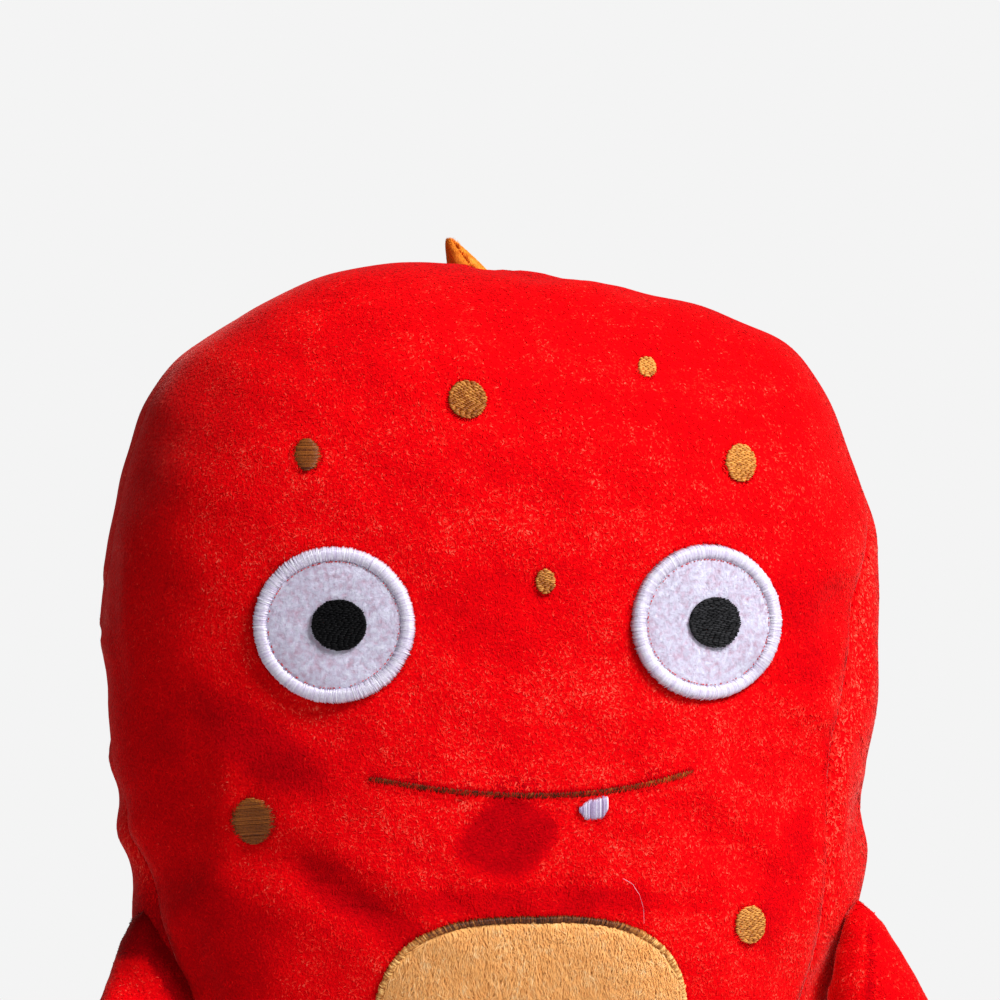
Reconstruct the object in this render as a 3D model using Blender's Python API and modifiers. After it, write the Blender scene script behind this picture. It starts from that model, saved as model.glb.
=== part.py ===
"""Plush monster dog toy, standing on two stub legs.

The toy is a stuffed pillow: one front panel and two back panels of red pile cloth, sewn
together along a seam that runs over the crown and down both sides.  Eyes, mouth, tooth, spots
and tummy are sewn or embroidered on the front, one orange spike stands in the centre back
seam, and a squeaker lies between two masses of fibre filling.

Metres, +Z up, the face looks along -Y.  Left and right are as seen from in front of the face.
"""

import math

import bmesh
import bpy
from mathutils import Vector

MM = 0.001

# Steps for reading slopes off the body's surface, and how near its middle the slope is level
SLOPE_STEP = 0.5 * MM
ANGLE_STEP = 0.02
LEVEL_SHARE = 0.05

# Body outline and swell
BODY_HALF_WIDTH = 70.0 * MM
CROWN_HEIGHT = 204.0 * MM
WIDEST_HEIGHT = 144.0 * MM
BODY_BOTTOM = 28.0 * MM
FACE_DEPTH = 40.0 * MM
BELLY_SWELL = 2.4 * MM
BELLY_HEIGHT = 72.0 * MM
BELLY_REACH = 50.0 * MM
BACK_DEPTH = 42.6 * MM
CROWN_ROUNDNESS = 2.45
LOWER_ROUNDNESS = 2.5
SWELL_ROUNDNESS = 2.3

# The crown is fuller on the left and slopes on the right
CROWN_SWAY = 1.7 * MM
CROWN_SWAY_REACH = 52.0 * MM

# Cloth and seams
CLOTH_THICKNESS = 2.5 * MM
CLEARANCE = 0.3 * MM
LIMB_ROOM = 0.45 * MM
SEAM_GAP = 0.5 * MM
SEAM_TUCK = 1.3 * MM
TUCK_START = 0.88
BACK_SEAM_VALLEY = 5.0 * MM
RING_SPREAD = 1.3

# Grids of the panels: columns and rows, rows drawn down in the middle, lines crowded at the rim
PANEL_COLUMNS = 22
PANEL_ROWS = 26
ROW_DROP = 0.17
EDGE_CROWDING = 0.25
RIM_RADIUS = 0.999

# How far the front seam lies towards the face, as a share of the depth, against the angle
# round the face in degrees (90 is the crown, 0 the widest line, -90 the bottom)
FRONT_SEAM_LEFT = ((-90, 0.0), (-60, 0.36), (-38, 0.42), (-22, 0.34), (-8, 0.04), (4, 0.0))
FRONT_SEAM_RIGHT = ((-90, 0.0), (-60, 0.38), (-34, 0.48), (-12, 0.6), (0, 0.5), (14, 0.2), (32, 0.0))

# Soft creases pressed into the front: two ends as (x, z), depth, half width
CREASES = (
    ((46 * MM, CROWN_HEIGHT - 30 * MM), (59 * MM, CROWN_HEIGHT - 23 * MM), 1.3 * MM, 6 * MM),
    ((-37 * MM, 99 * MM), (-24 * MM, 91 * MM), 1.1 * MM, 6 * MM),
    ((-55 * MM, CROWN_HEIGHT - 18 * MM), (-54 * MM, CROWN_HEIGHT - 24 * MM), 1.0 * MM, 6 * MM),
    ((49 * MM, 96 * MM), (53 * MM, 112 * MM), 1.2 * MM, 6 * MM),
)
INNER_CREASE_SPREAD = 2.5

# Eyes: a felt disc inside a raised ring of satin stitches, with a stitched pupil on it
EYE_CENTRES = {"left": (-31.6 * MM, 140.1 * MM), "right": (33.4 * MM, 140.4 * MM)}
EYE_HALF_WIDTH = 14.2 * MM
EYE_HALF_HEIGHT = 13.9 * MM
RING_WIDTH = 2.7 * MM
RING_HEIGHT = 2.2 * MM
FELT_THICKNESS = 1.1 * MM
FELT_EDGE_SQUARENESS = 6.0
THREAD_EDGE_SQUARENESS = 4.0
PUPIL_RADIUS = 4.6 * MM
PUPIL_THICKNESS = 0.9 * MM
PUPIL_SHIFT = 0.9 * MM

# Mouth line, with its lowest point and how far each end rises, and the one tooth under it
MOUTH_LOW = (4.7 * MM, 110.6 * MM)
MOUTH_SPANS = {"left": 30.2 * MM, "right": 26.1 * MM}
MOUTH_RISES = {"left": 3.0 * MM, "right": 3.9 * MM}
MOUTH_RADIUS = 0.55 * MM
MOUTH_POINT_COUNT = 19
TOOTH_CENTRE = (13.5 * MM, 107.9 * MM)
TOOTH_HALF_SIZE = (2.8 * MM, 2.0 * MM)
TOOTH_UPPER_SHARE = 0.72
TOOTH_THICKNESS = 1.2 * MM

# Embroidered spots: centre (x, z) and half sizes.  The upper four keep their place under the crown
SPOT_THICKNESS = 1.0 * MM
SPOTS = {
    "spot_crown": ((-8.2 * MM, CROWN_HEIGHT - 25.0 * MM), (3.3 * MM, 3.3 * MM)),
    "spot_brow_right": ((24.1 * MM, CROWN_HEIGHT - 19.2 * MM), (1.6 * MM, 1.8 * MM)),
    "spot_temple_right": ((40.2 * MM, CROWN_HEIGHT - 35.9 * MM), (2.8 * MM, 3.3 * MM)),
    "spot_temple_left": ((-36.0 * MM, CROWN_HEIGHT - 34.5 * MM), (2.4 * MM, 2.8 * MM)),
    "spot_nose": ((4.7 * MM, 147.6 * MM), (1.7 * MM, 2.1 * MM)),
    "spot_cheek_left": ((-45.3 * MM, 106.1 * MM), (3.8 * MM, 4.0 * MM)),
    "spot_cheek_right": ((41.8 * MM, 87.4 * MM), (2.8 * MM, 3.3 * MM)),
}

# Tummy patch of tan pile, with a satin border round it
TUMMY_CENTRE = (3.0 * MM, 66.8 * MM)
TUMMY_HALF_SIZE = (27.8 * MM, 23.0 * MM)
TUMMY_SQUARENESS = 3.0
TUMMY_THICKNESS = 2.0 * MM
TUMMY_BORDER_WIDTH = 2.0 * MM
TUMMY_BORDER_HEIGHT = 1.6 * MM

# Spike of orange pile in the centre back seam, of two cloths that meet in a seam
SPIKE_BACK_ANGLE = 22.0
SPIKE_LENGTH = 9.3 * MM
SPIKE_SINK = 7.0 * MM
SPIKE_HALF_WIDTH = 7.2 * MM
SPIKE_HALF_DEPTH = 8.0 * MM
SPIKE_LEAN = 5.0 * MM
SPIKE_LEAN_POWER = 1.7
SPIKE_FORWARD = 1.5 * MM
SPIKE_TAPER_SHARE = 0.72
SPIKE_TAPER_POWER = 0.8
SPIKE_CLOSING_POWER = 10

# Arms hang from the side seams, the left one sewn further in and higher up
ARM_TOP_HEIGHT = {"left": 97.0 * MM, "right": 93.0 * MM}
ARM_LENGTH = 58.0 * MM
ARM_HALF_WIDTH = 12.5 * MM
ARM_HALF_DEPTH = 10.5 * MM
ARM_TOP_IN = {"left": 9.6 * MM, "right": 2.5 * MM}
ARM_FORWARD = 17.0 * MM
ARM_REACH = {"left": 21.5 * MM, "right": 13.0 * MM}
ARM_REACH_POWER = 1.6
ARM_TOP_SHARE = 0.24
ARM_HAND_SHARE = 0.38
ARM_NARROWING_POWER = 1.35
ARM_CLOSING_POWER = 8

# Legs and soles
LEG_SPACING = 52.0 * MM
LEG_HALF_WIDTH = 18.0 * MM
LEG_HALF_DEPTH = 19.0 * MM
LEG_SINK = 34.0 * MM
LEG_TOP_SHARE = 0.9
LEG_SQUARENESS = 3.4
SOLE_THICKNESS = 1.6 * MM
SOLE_HALF_SIZE = (15.0 * MM, 16.0 * MM)
SOLE_EDGE = 0.4 * MM

# Squeaker: a hollow bulb with a reed pushed into its neck
SQUEAKER_HEIGHT = 112.0 * MM
BULB_RADIUS = 17.0 * MM
BULB_HALF_DEPTH = 10.5 * MM
BULB_WALL = 1.0 * MM
NECK_RADIUS = 4.0 * MM
NECK_LENGTH = 3.5 * MM
REED_LENGTH = 6.0 * MM
BULB_STEPS = 6
TURN_STEPS = 20
POCKET_ROOM = 0.7 * MM
FILLING_ROOM = 0.7 * MM

RED_PILE = (0.78, 0.012, 0.010)
TAN_PILE = (0.80, 0.43, 0.13)
ORANGE_PILE = (0.95, 0.27, 0.02)
ORANGE_SHADE = (0.80, 0.36, 0.10)
WHITE_FELT = (0.86, 0.82, 0.88)
WHITE_THREAD = (0.90, 0.87, 0.93)
BLACK_THREAD = (0.015, 0.014, 0.016)
BROWN_THREAD = (0.20, 0.045, 0.012)
GOLD_THREAD = (0.55, 0.24, 0.045)
FIBRE_WHITE = (0.90, 0.90, 0.88)
CLEAR_PLASTIC = (0.75, 0.78, 0.80)
REED_PLASTIC = (0.85, 0.85, 0.82)


def signed_power(value, exponent):
    return math.copysign(abs(value) ** exponent, value)


def smooth_step(low, high, value):
    share = min(max((value - low) / (high - low), 0.0), 1.0)
    return share * share * (3.0 - 2.0 * share)


def read_line(points, place):
    """Height of a smooth curve through (place, height) points, level past its ends."""
    if place <= points[0][0]:
        return points[0][1]
    if place >= points[-1][0]:
        return points[-1][1]
    slopes = [0.0]
    for before, after in zip(points, points[2:]):
        slopes.append((after[1] - before[1]) / (after[0] - before[0]))
    slopes.append(0.0)
    index = max(i for i, point in enumerate(points) if point[0] <= place)
    (start, low), (end, high) = points[index], points[index + 1]
    width = end - start
    share = (place - start) / width
    rise = smooth_step(0.0, 1.0, share)
    lead = slopes[index] * width * share * (1.0 - share) ** 2
    tail = slopes[index + 1] * width * share**2 * (1.0 - share)
    return low + (high - low) * rise + lead - tail


def outline_shape(upper):
    """Height of that half of the outline over or under the widest line, and its roundness."""
    if upper:
        return CROWN_HEIGHT - WIDEST_HEIGHT, CROWN_ROUNDNESS
    return WIDEST_HEIGHT - BODY_BOTTOM, LOWER_ROUNDNESS


def crown_sway(x, z):
    """The crown rises on the left and falls on the right of the centre line."""
    if z <= WIDEST_HEIGHT or abs(x) >= CROWN_SWAY_REACH:
        return 0.0
    rise = ((z - WIDEST_HEIGHT) / (CROWN_HEIGHT - WIDEST_HEIGHT)) ** 2
    return -CROWN_SWAY * math.sin(math.pi * x / CROWN_SWAY_REACH) * rise


def front_depth(z):
    """Depth of the front at its middle, fuller at the belly."""
    from_belly = (z - BELLY_HEIGHT) / BELLY_REACH
    return FACE_DEPTH + BELLY_SWELL * math.exp(-from_belly * from_belly)


def crease_depth(x, z, spread=1.0):
    """How deep the soft creases press the front in at (x, z), broader inside by the spread."""
    place = Vector((x, z))
    total = 0.0
    for start, end, depth, half_width in CREASES:
        first = Vector(start)
        along = Vector(end) - first
        share = min(max((place - first).dot(along) / along.length_squared, 0.0), 1.0)
        away = (place - first - along * share).length / (half_width * spread)
        total += depth * math.exp(-away * away)
    return total


def body_point(psi, theta, grow=0.0):
    """Point of the stuffed body, psi from the middle of the face to the middle of the back."""
    height, roundness = outline_shape(math.sin(theta) >= 0.0)
    reach = max(math.sin(psi), 0.0) ** (2.0 / SWELL_ROUNDNESS)
    x = (BODY_HALF_WIDTH + grow) * reach * signed_power(math.cos(theta), 2.0 / roundness)
    z = WIDEST_HEIGHT + (height + grow) * reach * signed_power(math.sin(theta), 2.0 / roundness)
    share = signed_power(math.cos(psi), 2.0 / SWELL_ROUNDNESS)
    if share > 0.0:
        spread = 1.0 if grow >= 0.0 else INNER_CREASE_SPREAD
        y = -(front_depth(z) + grow - crease_depth(x, z, spread)) * share
    else:
        y = -(BACK_DEPTH + grow) * share
    return Vector((x, y, z + crown_sway(x, z)))


def side_half_width(z):
    """Half width of the outline at height z."""
    height, roundness = outline_shape(z >= WIDEST_HEIGHT)
    share = min(abs(z - WIDEST_HEIGHT) / height, 1.0)
    return BODY_HALF_WIDTH * (1.0 - share**roundness) ** (1.0 / roundness)


def underside_height(x):
    """Height of the outline's lower half at distance x from the centre line."""
    height, roundness = outline_shape(False)
    share = min(abs(x) / BODY_HALF_WIDTH, 1.0)
    return WIDEST_HEIGHT - height * (1.0 - share**roundness) ** (1.0 / roundness)


def face_depth(x, z):
    """How far the front stands before the plane y = 0 at (x, z)."""
    level = z - crown_sway(x, z)
    height, roundness = outline_shape(level >= WIDEST_HEIGHT)
    reach = (abs(x) / BODY_HALF_WIDTH) ** roundness + (abs(level - WIDEST_HEIGHT) / height) ** roundness
    swell = max(1.0 - reach ** (SWELL_ROUNDNESS / roundness), 0.0) ** (1.0 / SWELL_ROUNDNESS)
    return (front_depth(level) - crease_depth(x, level)) * swell


def on_face(x, z, lift):
    """Point lifted from the front's surface along its normal."""
    step = SLOPE_STEP
    slope_x = (face_depth(x + step, z) - face_depth(x - step, z)) / (2.0 * step)
    slope_z = (face_depth(x, z + step) - face_depth(x, z - step)) / (2.0 * step)
    normal = Vector((-slope_x, -1.0, -slope_z)).normalized()
    return Vector((x, -face_depth(x, z), z)) + normal * lift


def seam_angle(theta):
    """Angle psi of the front seam, against the angle theta round the face."""
    degrees = math.degrees(theta)
    if math.cos(theta) >= 0.0:
        share = read_line(FRONT_SEAM_RIGHT, degrees)
    else:
        mirrored = 180.0 - degrees if degrees > 0.0 else -180.0 - degrees
        share = read_line(FRONT_SEAM_LEFT, mirrored)
    return math.acos(max(share, 0.0) ** (SWELL_ROUNDNESS / 2.0))


def ring_angle(radius, theta, front):
    """Angle psi at a share radius between the middle of a side (0) and its seam (1)."""
    seam = seam_angle(theta)
    share = radius**RING_SPREAD
    return share * seam if front else math.pi - share * (math.pi - seam)


def outward_at(psi, theta, grow):
    """Unit normal of the stuffed body, out of it."""
    if math.sin(psi) < LEVEL_SHARE:
        return Vector((0.0, -math.cos(psi), 0.0)).normalized()
    step = ANGLE_STEP
    across = body_point(psi + step, theta, grow) - body_point(psi - step, theta, grow)
    along = body_point(psi, theta + step, grow) - body_point(psi, theta - step, grow)
    normal = along.cross(across).normalized()
    from_middle = body_point(psi, theta, grow) - Vector((0.0, 0.0, WIDEST_HEIGHT))
    return normal if normal.dot(from_middle) > 0.0 else -normal


def skin_point(radius, theta, front, grow=0.0):
    """Point of the skin at a share radius (0 to 1) between the middle of a side and its seam.

    The skin dips where it is sewn: all round at radius 1, and at the centre back seam.
    """
    psi = ring_angle(radius, theta, front)
    point = body_point(psi, theta, grow)
    tuck = (max(radius - TUCK_START, 0.0) / (1.0 - TUCK_START)) ** 2
    if not front:
        tuck = max(tuck, 1.0 - abs(point.x) / BACK_SEAM_VALLEY)
    return point - outward_at(psi, theta, grow) * SEAM_TUCK * tuck


def seam_edge_shift(theta, front):
    """Half of the gap between two cloths at the front seam, along the skin."""
    psi = seam_angle(theta)
    across = body_point(psi + ANGLE_STEP, theta) - body_point(psi - ANGLE_STEP, theta)
    return across.normalized() * (SEAM_GAP / 2.0) * (-1.0 if front else 1.0)


def square_to_disc(s, t):
    """Radius and angle in a round disc of a place in the square from -1 to 1."""
    u = s * math.sqrt(1.0 - t * t / 2.0)
    v = t * math.sqrt(1.0 - s * s / 2.0)
    return min(math.hypot(u, v), 1.0), math.atan2(v, u)


def crowd_edge(share):
    """Draws the places of a grid line towards both of its ends."""
    return share * (1.0 + EDGE_CROWDING * (1.0 - share * share))


def make_material(name, colour, roughness, metallic=0.0):
    material = bpy.data.materials.new(name)
    material.use_nodes = True
    shader = material.node_tree.nodes["Principled BSDF"]
    shader.inputs["Base Color"].default_value = (*colour, 1.0)
    shader.inputs["Roughness"].default_value = roughness
    shader.inputs["Metallic"].default_value = metallic
    material.diffuse_color = (*colour, 1.0)
    return material


def make_object(name, mesh, colour, roughness=0.9):
    """Puts a bmesh in the toy's collection as a named object with its own material."""
    data = bpy.data.meshes.new(name)
    mesh.to_mesh(data)
    mesh.free()
    data.shade_smooth()
    piece = bpy.data.objects.new(name, data)
    TOY.objects.link(piece)
    data.materials.append(make_material(name, colour, roughness))
    return piece


def make_cutter(name, mesh):
    data = bpy.data.meshes.new(name)
    mesh.to_mesh(data)
    mesh.free()
    cutter = bpy.data.objects.new(name, data)
    cutter.hide_render = True
    cutter.display_type = "WIRE"
    CUTTERS.objects.link(cutter)
    return cutter


def cut_away(piece, cutter):
    cut = piece.modifiers.new("cut " + cutter.name, "BOOLEAN")
    cut.operation = "DIFFERENCE"
    cut.solver = "EXACT"
    cut.object = cutter


def give_thickness(piece, thickness, inward=True):
    wall = piece.modifiers.new("cloth", "SOLIDIFY")
    wall.thickness = thickness
    wall.offset = -1.0 if inward else 1.0


def face_outward(mesh):
    mesh.normal_update()
    bmesh.ops.recalc_face_normals(mesh, faces=mesh.faces[:])


def halve(mesh, place, normal):
    """Cuts a closed bmesh by a plane, keeps the side that the normal points away from, closes it."""
    geometry = mesh.verts[:] + mesh.edges[:] + mesh.faces[:]
    bmesh.ops.bisect_plane(
        mesh, geom=geometry, dist=0.01 * MM, plane_co=place, plane_no=normal, clear_outer=True
    )
    rim = [edge for edge in mesh.edges if edge.is_boundary]
    bmesh.ops.contextual_create(mesh, geom=rim)
    face_outward(mesh)


def front_panel():
    """One dome of pile cloth, from the bottom over the face to the crown."""
    mesh = bmesh.new()
    bmesh.ops.create_grid(mesh, x_segments=PANEL_COLUMNS, y_segments=PANEL_ROWS, size=1.0)
    for vertex in mesh.verts:
        s = crowd_edge(vertex.co.x)
        t = crowd_edge(vertex.co.y)
        t -= ROW_DROP * (1.0 - t * t)
        radius, theta = square_to_disc(s, t)
        point = skin_point(radius, theta, True)
        if radius > RIM_RADIUS:
            point += seam_edge_shift(theta, True)
        vertex.co = point
    panel = make_object("front_panel", mesh, RED_PILE)
    give_thickness(panel, CLOTH_THICKNESS)


def back_panel(side):
    """Half of the back, between the front seam and the centre back seam."""
    sign = -1.0 if side == "left" else 1.0
    mesh = bmesh.new()
    bmesh.ops.create_grid(mesh, x_segments=PANEL_COLUMNS // 2, y_segments=PANEL_ROWS, size=1.0)
    for vertex in mesh.verts:
        share = (vertex.co.x + 1.0) / 2.0
        from_centre = share if side == "right" else 1.0 - share
        t = crowd_edge(vertex.co.y)
        t -= ROW_DROP * (1.0 - t * t)
        to_rim = t * t
        crowded = (from_centre + smooth_step(0.0, 1.0, from_centre)) / 2.0
        s = sign * (crowded * (1.0 - to_rim) + crowd_edge(from_centre) * to_rim)
        radius, theta = square_to_disc(s, t)
        point = skin_point(radius, theta, False)
        if radius > RIM_RADIUS:
            point += seam_edge_shift(theta, False)
        if from_centre < 1.0 - RIM_RADIUS:
            point.x = sign * SEAM_GAP / 2.0
        vertex.co = point
    bmesh.ops.reverse_faces(mesh, faces=mesh.faces[:])
    panel = make_object("back_panel_" + side, mesh, RED_PILE)
    give_thickness(panel, CLOTH_THICKNESS)


def body_mesh(segments, rings, grow, tucked):
    """Closed body from a UV sphere whose equator becomes the front seam."""
    mesh = bmesh.new()
    bmesh.ops.create_uvsphere(mesh, u_segments=segments, v_segments=rings, radius=1.0)
    for vertex in mesh.verts:
        polar = math.acos(min(max(vertex.co.z, -1.0), 1.0)) / (math.pi / 2.0)
        theta = math.atan2(vertex.co.y, vertex.co.x)
        front = polar <= 1.0
        radius = polar if front else 2.0 - polar
        if tucked:
            vertex.co = skin_point(radius, theta, front, grow)
        else:
            vertex.co = body_point(ring_angle(radius, theta, front), theta, grow)
    face_outward(mesh)
    return mesh


def trimming_body():
    """The body with a running clearance, which trims what is sewn against it."""
    body = body_mesh(segments=96, rings=44, grow=LIMB_ROOM, tucked=False)
    make_cutter("body_trim", body)


def filling(name, front):
    """One mass of fibre, the front or the back half, with half of the squeaker's pocket."""
    room = CLOTH_THICKNESS + FILLING_ROOM
    mesh = body_mesh(segments=28, rings=16, grow=-room, tucked=True)
    direction = Vector((0.0, 1.0 if front else -1.0, 0.0))
    place = Vector((0.0, CLEARANCE / 2.0 * (-1.0 if front else 1.0), 0.0))
    halve(mesh, place, direction)
    mass = make_object(name, mesh, FIBRE_WHITE, 1.0)
    cut_away(mass, bpy.data.objects["squeaker_pocket"])


def squeaker_pocket():
    mesh = bmesh.new()
    bmesh.ops.create_uvsphere(mesh, u_segments=24, v_segments=12, radius=1.0)
    depth = BULB_HALF_DEPTH + NECK_LENGTH + POCKET_ROOM
    for vertex in mesh.verts:
        across = vertex.co * (BULB_RADIUS + POCKET_ROOM)
        vertex.co = Vector((across.x, -vertex.co.z * depth, SQUEAKER_HEIGHT + across.y))
    face_outward(mesh)
    make_cutter("squeaker_pocket", mesh)


def squeaker():
    """Turned plastic bulb, open at its neck, and the reed in the neck."""
    profile = [(NECK_RADIUS, BULB_HALF_DEPTH + NECK_LENGTH)]
    start = math.asin(NECK_RADIUS / BULB_RADIUS)
    for index in range(BULB_STEPS + 1):
        angle = start + (math.pi - start) * index / BULB_STEPS
        profile.append((BULB_RADIUS * math.sin(angle), BULB_HALF_DEPTH * math.cos(angle)))
    mesh = bmesh.new()
    points = [mesh.verts.new((radius, 0.0, height)) for radius, height in profile]
    points[-1].co.x = 0.0
    for first, second in zip(points, points[1:]):
        mesh.edges.new((first, second))
    bulb = make_object("squeaker_bulb", mesh, CLEAR_PLASTIC, 0.35)
    turn = bulb.modifiers.new("turn", "SCREW")
    turn.steps = TURN_STEPS
    turn.render_steps = TURN_STEPS
    turn.axis = "Z"
    turn.use_merge_vertices = True
    turn.merge_threshold = 0.00001
    give_thickness(bulb, BULB_WALL)
    bulb.rotation_euler.x = -math.pi / 2.0
    bulb.location.z = SQUEAKER_HEIGHT

    mesh = bmesh.new()
    radius = NECK_RADIUS - BULB_WALL - CLEARANCE
    bmesh.ops.create_cone(
        mesh, cap_ends=True, segments=TURN_STEPS, radius1=radius, radius2=radius, depth=REED_LENGTH
    )
    reed = make_object("squeaker_reed", mesh, REED_PLASTIC, 0.4)
    reed.rotation_euler.x = math.pi / 2.0
    reed.location = (0.0, BULB_HALF_DEPTH + NECK_LENGTH - REED_LENGTH / 2.0, SQUEAKER_HEIGHT)


def lay_on_face(mesh, centre, lift):
    """Moves a flat piece, drawn about the origin in XY with its height in Z, onto the front."""
    for vertex in mesh.verts:
        x, z, height = vertex.co
        vertex.co = on_face(centre[0] + x, centre[1] + z, lift + height)


def pad_mesh(half_size, thickness, segments, rings, edge_squareness):
    """Low pad with a flat back and a rounded edge, from a flattened UV sphere."""
    mesh = bmesh.new()
    bmesh.ops.create_uvsphere(mesh, u_segments=segments, v_segments=rings, radius=1.0)
    for vertex in mesh.verts:
        polar = math.acos(min(max(vertex.co.z, -1.0), 1.0))
        angle = math.atan2(vertex.co.y, vertex.co.x)
        reach = max(math.sin(polar), 0.0) ** (2.0 / edge_squareness)
        rise = signed_power(math.cos(polar), 2.0 / edge_squareness)
        vertex.co.x = half_size[0] * reach * math.cos(angle)
        vertex.co.y = half_size[1] * reach * math.sin(angle)
        vertex.co.z = thickness * (0.5 + 0.5 * rise)
    return mesh


def ring_mesh(half_size, width, height, segments, squareness):
    """Flat-lying ring with outer half sizes, from a torus."""
    minor = 0.1
    bpy.ops.mesh.primitive_torus_add(
        major_segments=segments, minor_segments=6, major_radius=1.0, minor_radius=minor
    )
    torus = bpy.context.object
    mesh = bmesh.new()
    mesh.from_mesh(torus.data)
    data = torus.data
    bpy.data.objects.remove(torus)
    bpy.data.meshes.remove(data)
    for vertex in mesh.verts:
        angle = math.atan2(vertex.co.y, vertex.co.x)
        aside = (math.hypot(vertex.co.x, vertex.co.y) - 1.0) / minor * width / 2.0
        rise = vertex.co.z / minor
        vertex.co.x = (half_size[0] - width / 2.0 + aside) * signed_power(math.cos(angle), 2.0 / squareness)
        vertex.co.y = (half_size[1] - width / 2.0 + aside) * signed_power(math.sin(angle), 2.0 / squareness)
        vertex.co.z = height * (0.5 + 0.5 * rise)
    return mesh


def eye(side):
    centre = EYE_CENTRES[side]
    inner = RING_WIDTH + CLEARANCE
    half_size = (EYE_HALF_WIDTH - inner, EYE_HALF_HEIGHT - inner)
    mesh = pad_mesh(half_size, FELT_THICKNESS, 22, 7, FELT_EDGE_SQUARENESS)
    lay_on_face(mesh, centre, CLEARANCE)
    make_object("eye_" + side + "_felt", mesh, WHITE_FELT, 0.95)

    outer = (EYE_HALF_WIDTH, EYE_HALF_HEIGHT)
    mesh = ring_mesh(outer, RING_WIDTH, RING_HEIGHT, segments=36, squareness=2.0)
    lay_on_face(mesh, centre, CLEARANCE)
    make_object("eye_" + side + "_stitching", mesh, WHITE_THREAD, 0.45)

    mesh = pad_mesh((PUPIL_RADIUS, PUPIL_RADIUS), PUPIL_THICKNESS, 14, 6, THREAD_EDGE_SQUARENESS)
    pupil_centre = (centre[0] + PUPIL_SHIFT, centre[1])
    lay_on_face(mesh, pupil_centre, CLEARANCE + FELT_THICKNESS + CLEARANCE)
    make_object("eye_" + side + "_pupil", mesh, BLACK_THREAD, 0.4)


def mouth():
    """Line of satin stitches as a thin tube that follows the face."""
    curve = bpy.data.curves.new("mouth_stitching", "CURVE")
    curve.dimensions = "3D"
    curve.bevel_depth = MOUTH_RADIUS
    curve.bevel_resolution = 1
    curve.use_fill_caps = True
    spline = curve.splines.new("POLY")
    spline.points.add(MOUTH_POINT_COUNT - 1)
    length = MOUTH_SPANS["left"] + MOUTH_SPANS["right"]
    for index, point in enumerate(spline.points):
        aside = -MOUTH_SPANS["left"] + length * index / (MOUTH_POINT_COUNT - 1)
        side = "left" if aside < 0.0 else "right"
        rise = MOUTH_RISES[side] * (abs(aside) / MOUTH_SPANS[side]) ** 2
        place = on_face(MOUTH_LOW[0] + aside, MOUTH_LOW[1] + rise, CLEARANCE + MOUTH_RADIUS)
        point.co = (*place, 1.0)
    line = bpy.data.objects.new("mouth_stitching", curve)
    TOY.objects.link(line)
    curve.materials.append(make_material("mouth_stitching", BROWN_THREAD, 0.5))


def tooth():
    """Half-round tooth whose straight top lies just under the mouth line."""
    mesh = pad_mesh(TOOTH_HALF_SIZE, TOOTH_THICKNESS, 16, 6, THREAD_EDGE_SQUARENESS)
    for vertex in mesh.verts:
        if vertex.co.y > 0.0:
            vertex.co.y *= TOOTH_UPPER_SHARE
    lay_on_face(mesh, TOOTH_CENTRE, CLEARANCE)
    make_object("tooth_stitching", mesh, WHITE_THREAD, 0.45)


def spots():
    for name, (centre, half_size) in SPOTS.items():
        mesh = pad_mesh(half_size, SPOT_THICKNESS, 12, 6, THREAD_EDGE_SQUARENESS)
        lay_on_face(mesh, centre, CLEARANCE)
        make_object(name, mesh, GOLD_THREAD, 0.5)


def tummy():
    mesh = bmesh.new()
    bmesh.ops.create_grid(mesh, x_segments=12, y_segments=12, size=1.0)
    inner = TUMMY_BORDER_WIDTH + CLEARANCE
    power = 2.0 / TUMMY_SQUARENESS
    for vertex in mesh.verts:
        radius, theta = square_to_disc(vertex.co.x, vertex.co.y)
        x = (TUMMY_HALF_SIZE[0] - inner) * radius * signed_power(math.cos(theta), power)
        z = (TUMMY_HALF_SIZE[1] - inner) * radius * signed_power(math.sin(theta), power)
        vertex.co = on_face(TUMMY_CENTRE[0] + x, TUMMY_CENTRE[1] + z, CLEARANCE)
    patch = make_object("tummy_patch", mesh, TAN_PILE)
    give_thickness(patch, TUMMY_THICKNESS, inward=False)

    mesh = ring_mesh(TUMMY_HALF_SIZE, TUMMY_BORDER_WIDTH, TUMMY_BORDER_HEIGHT, 48, TUMMY_SQUARENESS)
    lay_on_face(mesh, TUMMY_CENTRE, CLEARANCE)
    make_object("tummy_stitching", mesh, BROWN_THREAD, 0.5)


def limb_mesh(line, girth, half_width, half_depth, segments, rings, tip_rings=1.0):
    """Stuffed limb from a UV sphere: line gives the centre and girth the fullness, tip to root.

    A tip_rings over 1 crowds the rings at the tip, which then is rounder.
    """
    mesh = bmesh.new()
    bmesh.ops.create_uvsphere(mesh, u_segments=segments, v_segments=rings, radius=1.0)
    for vertex in mesh.verts:
        share = (math.acos(min(max(vertex.co.z, -1.0), 1.0)) / math.pi) ** tip_rings
        angle = math.atan2(vertex.co.y, vertex.co.x)
        full = girth(share)
        offset = Vector((half_width * full * math.cos(angle), half_depth * full * math.sin(angle), 0.0))
        vertex.co = line(share) + offset
    face_outward(mesh)
    return mesh


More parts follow.
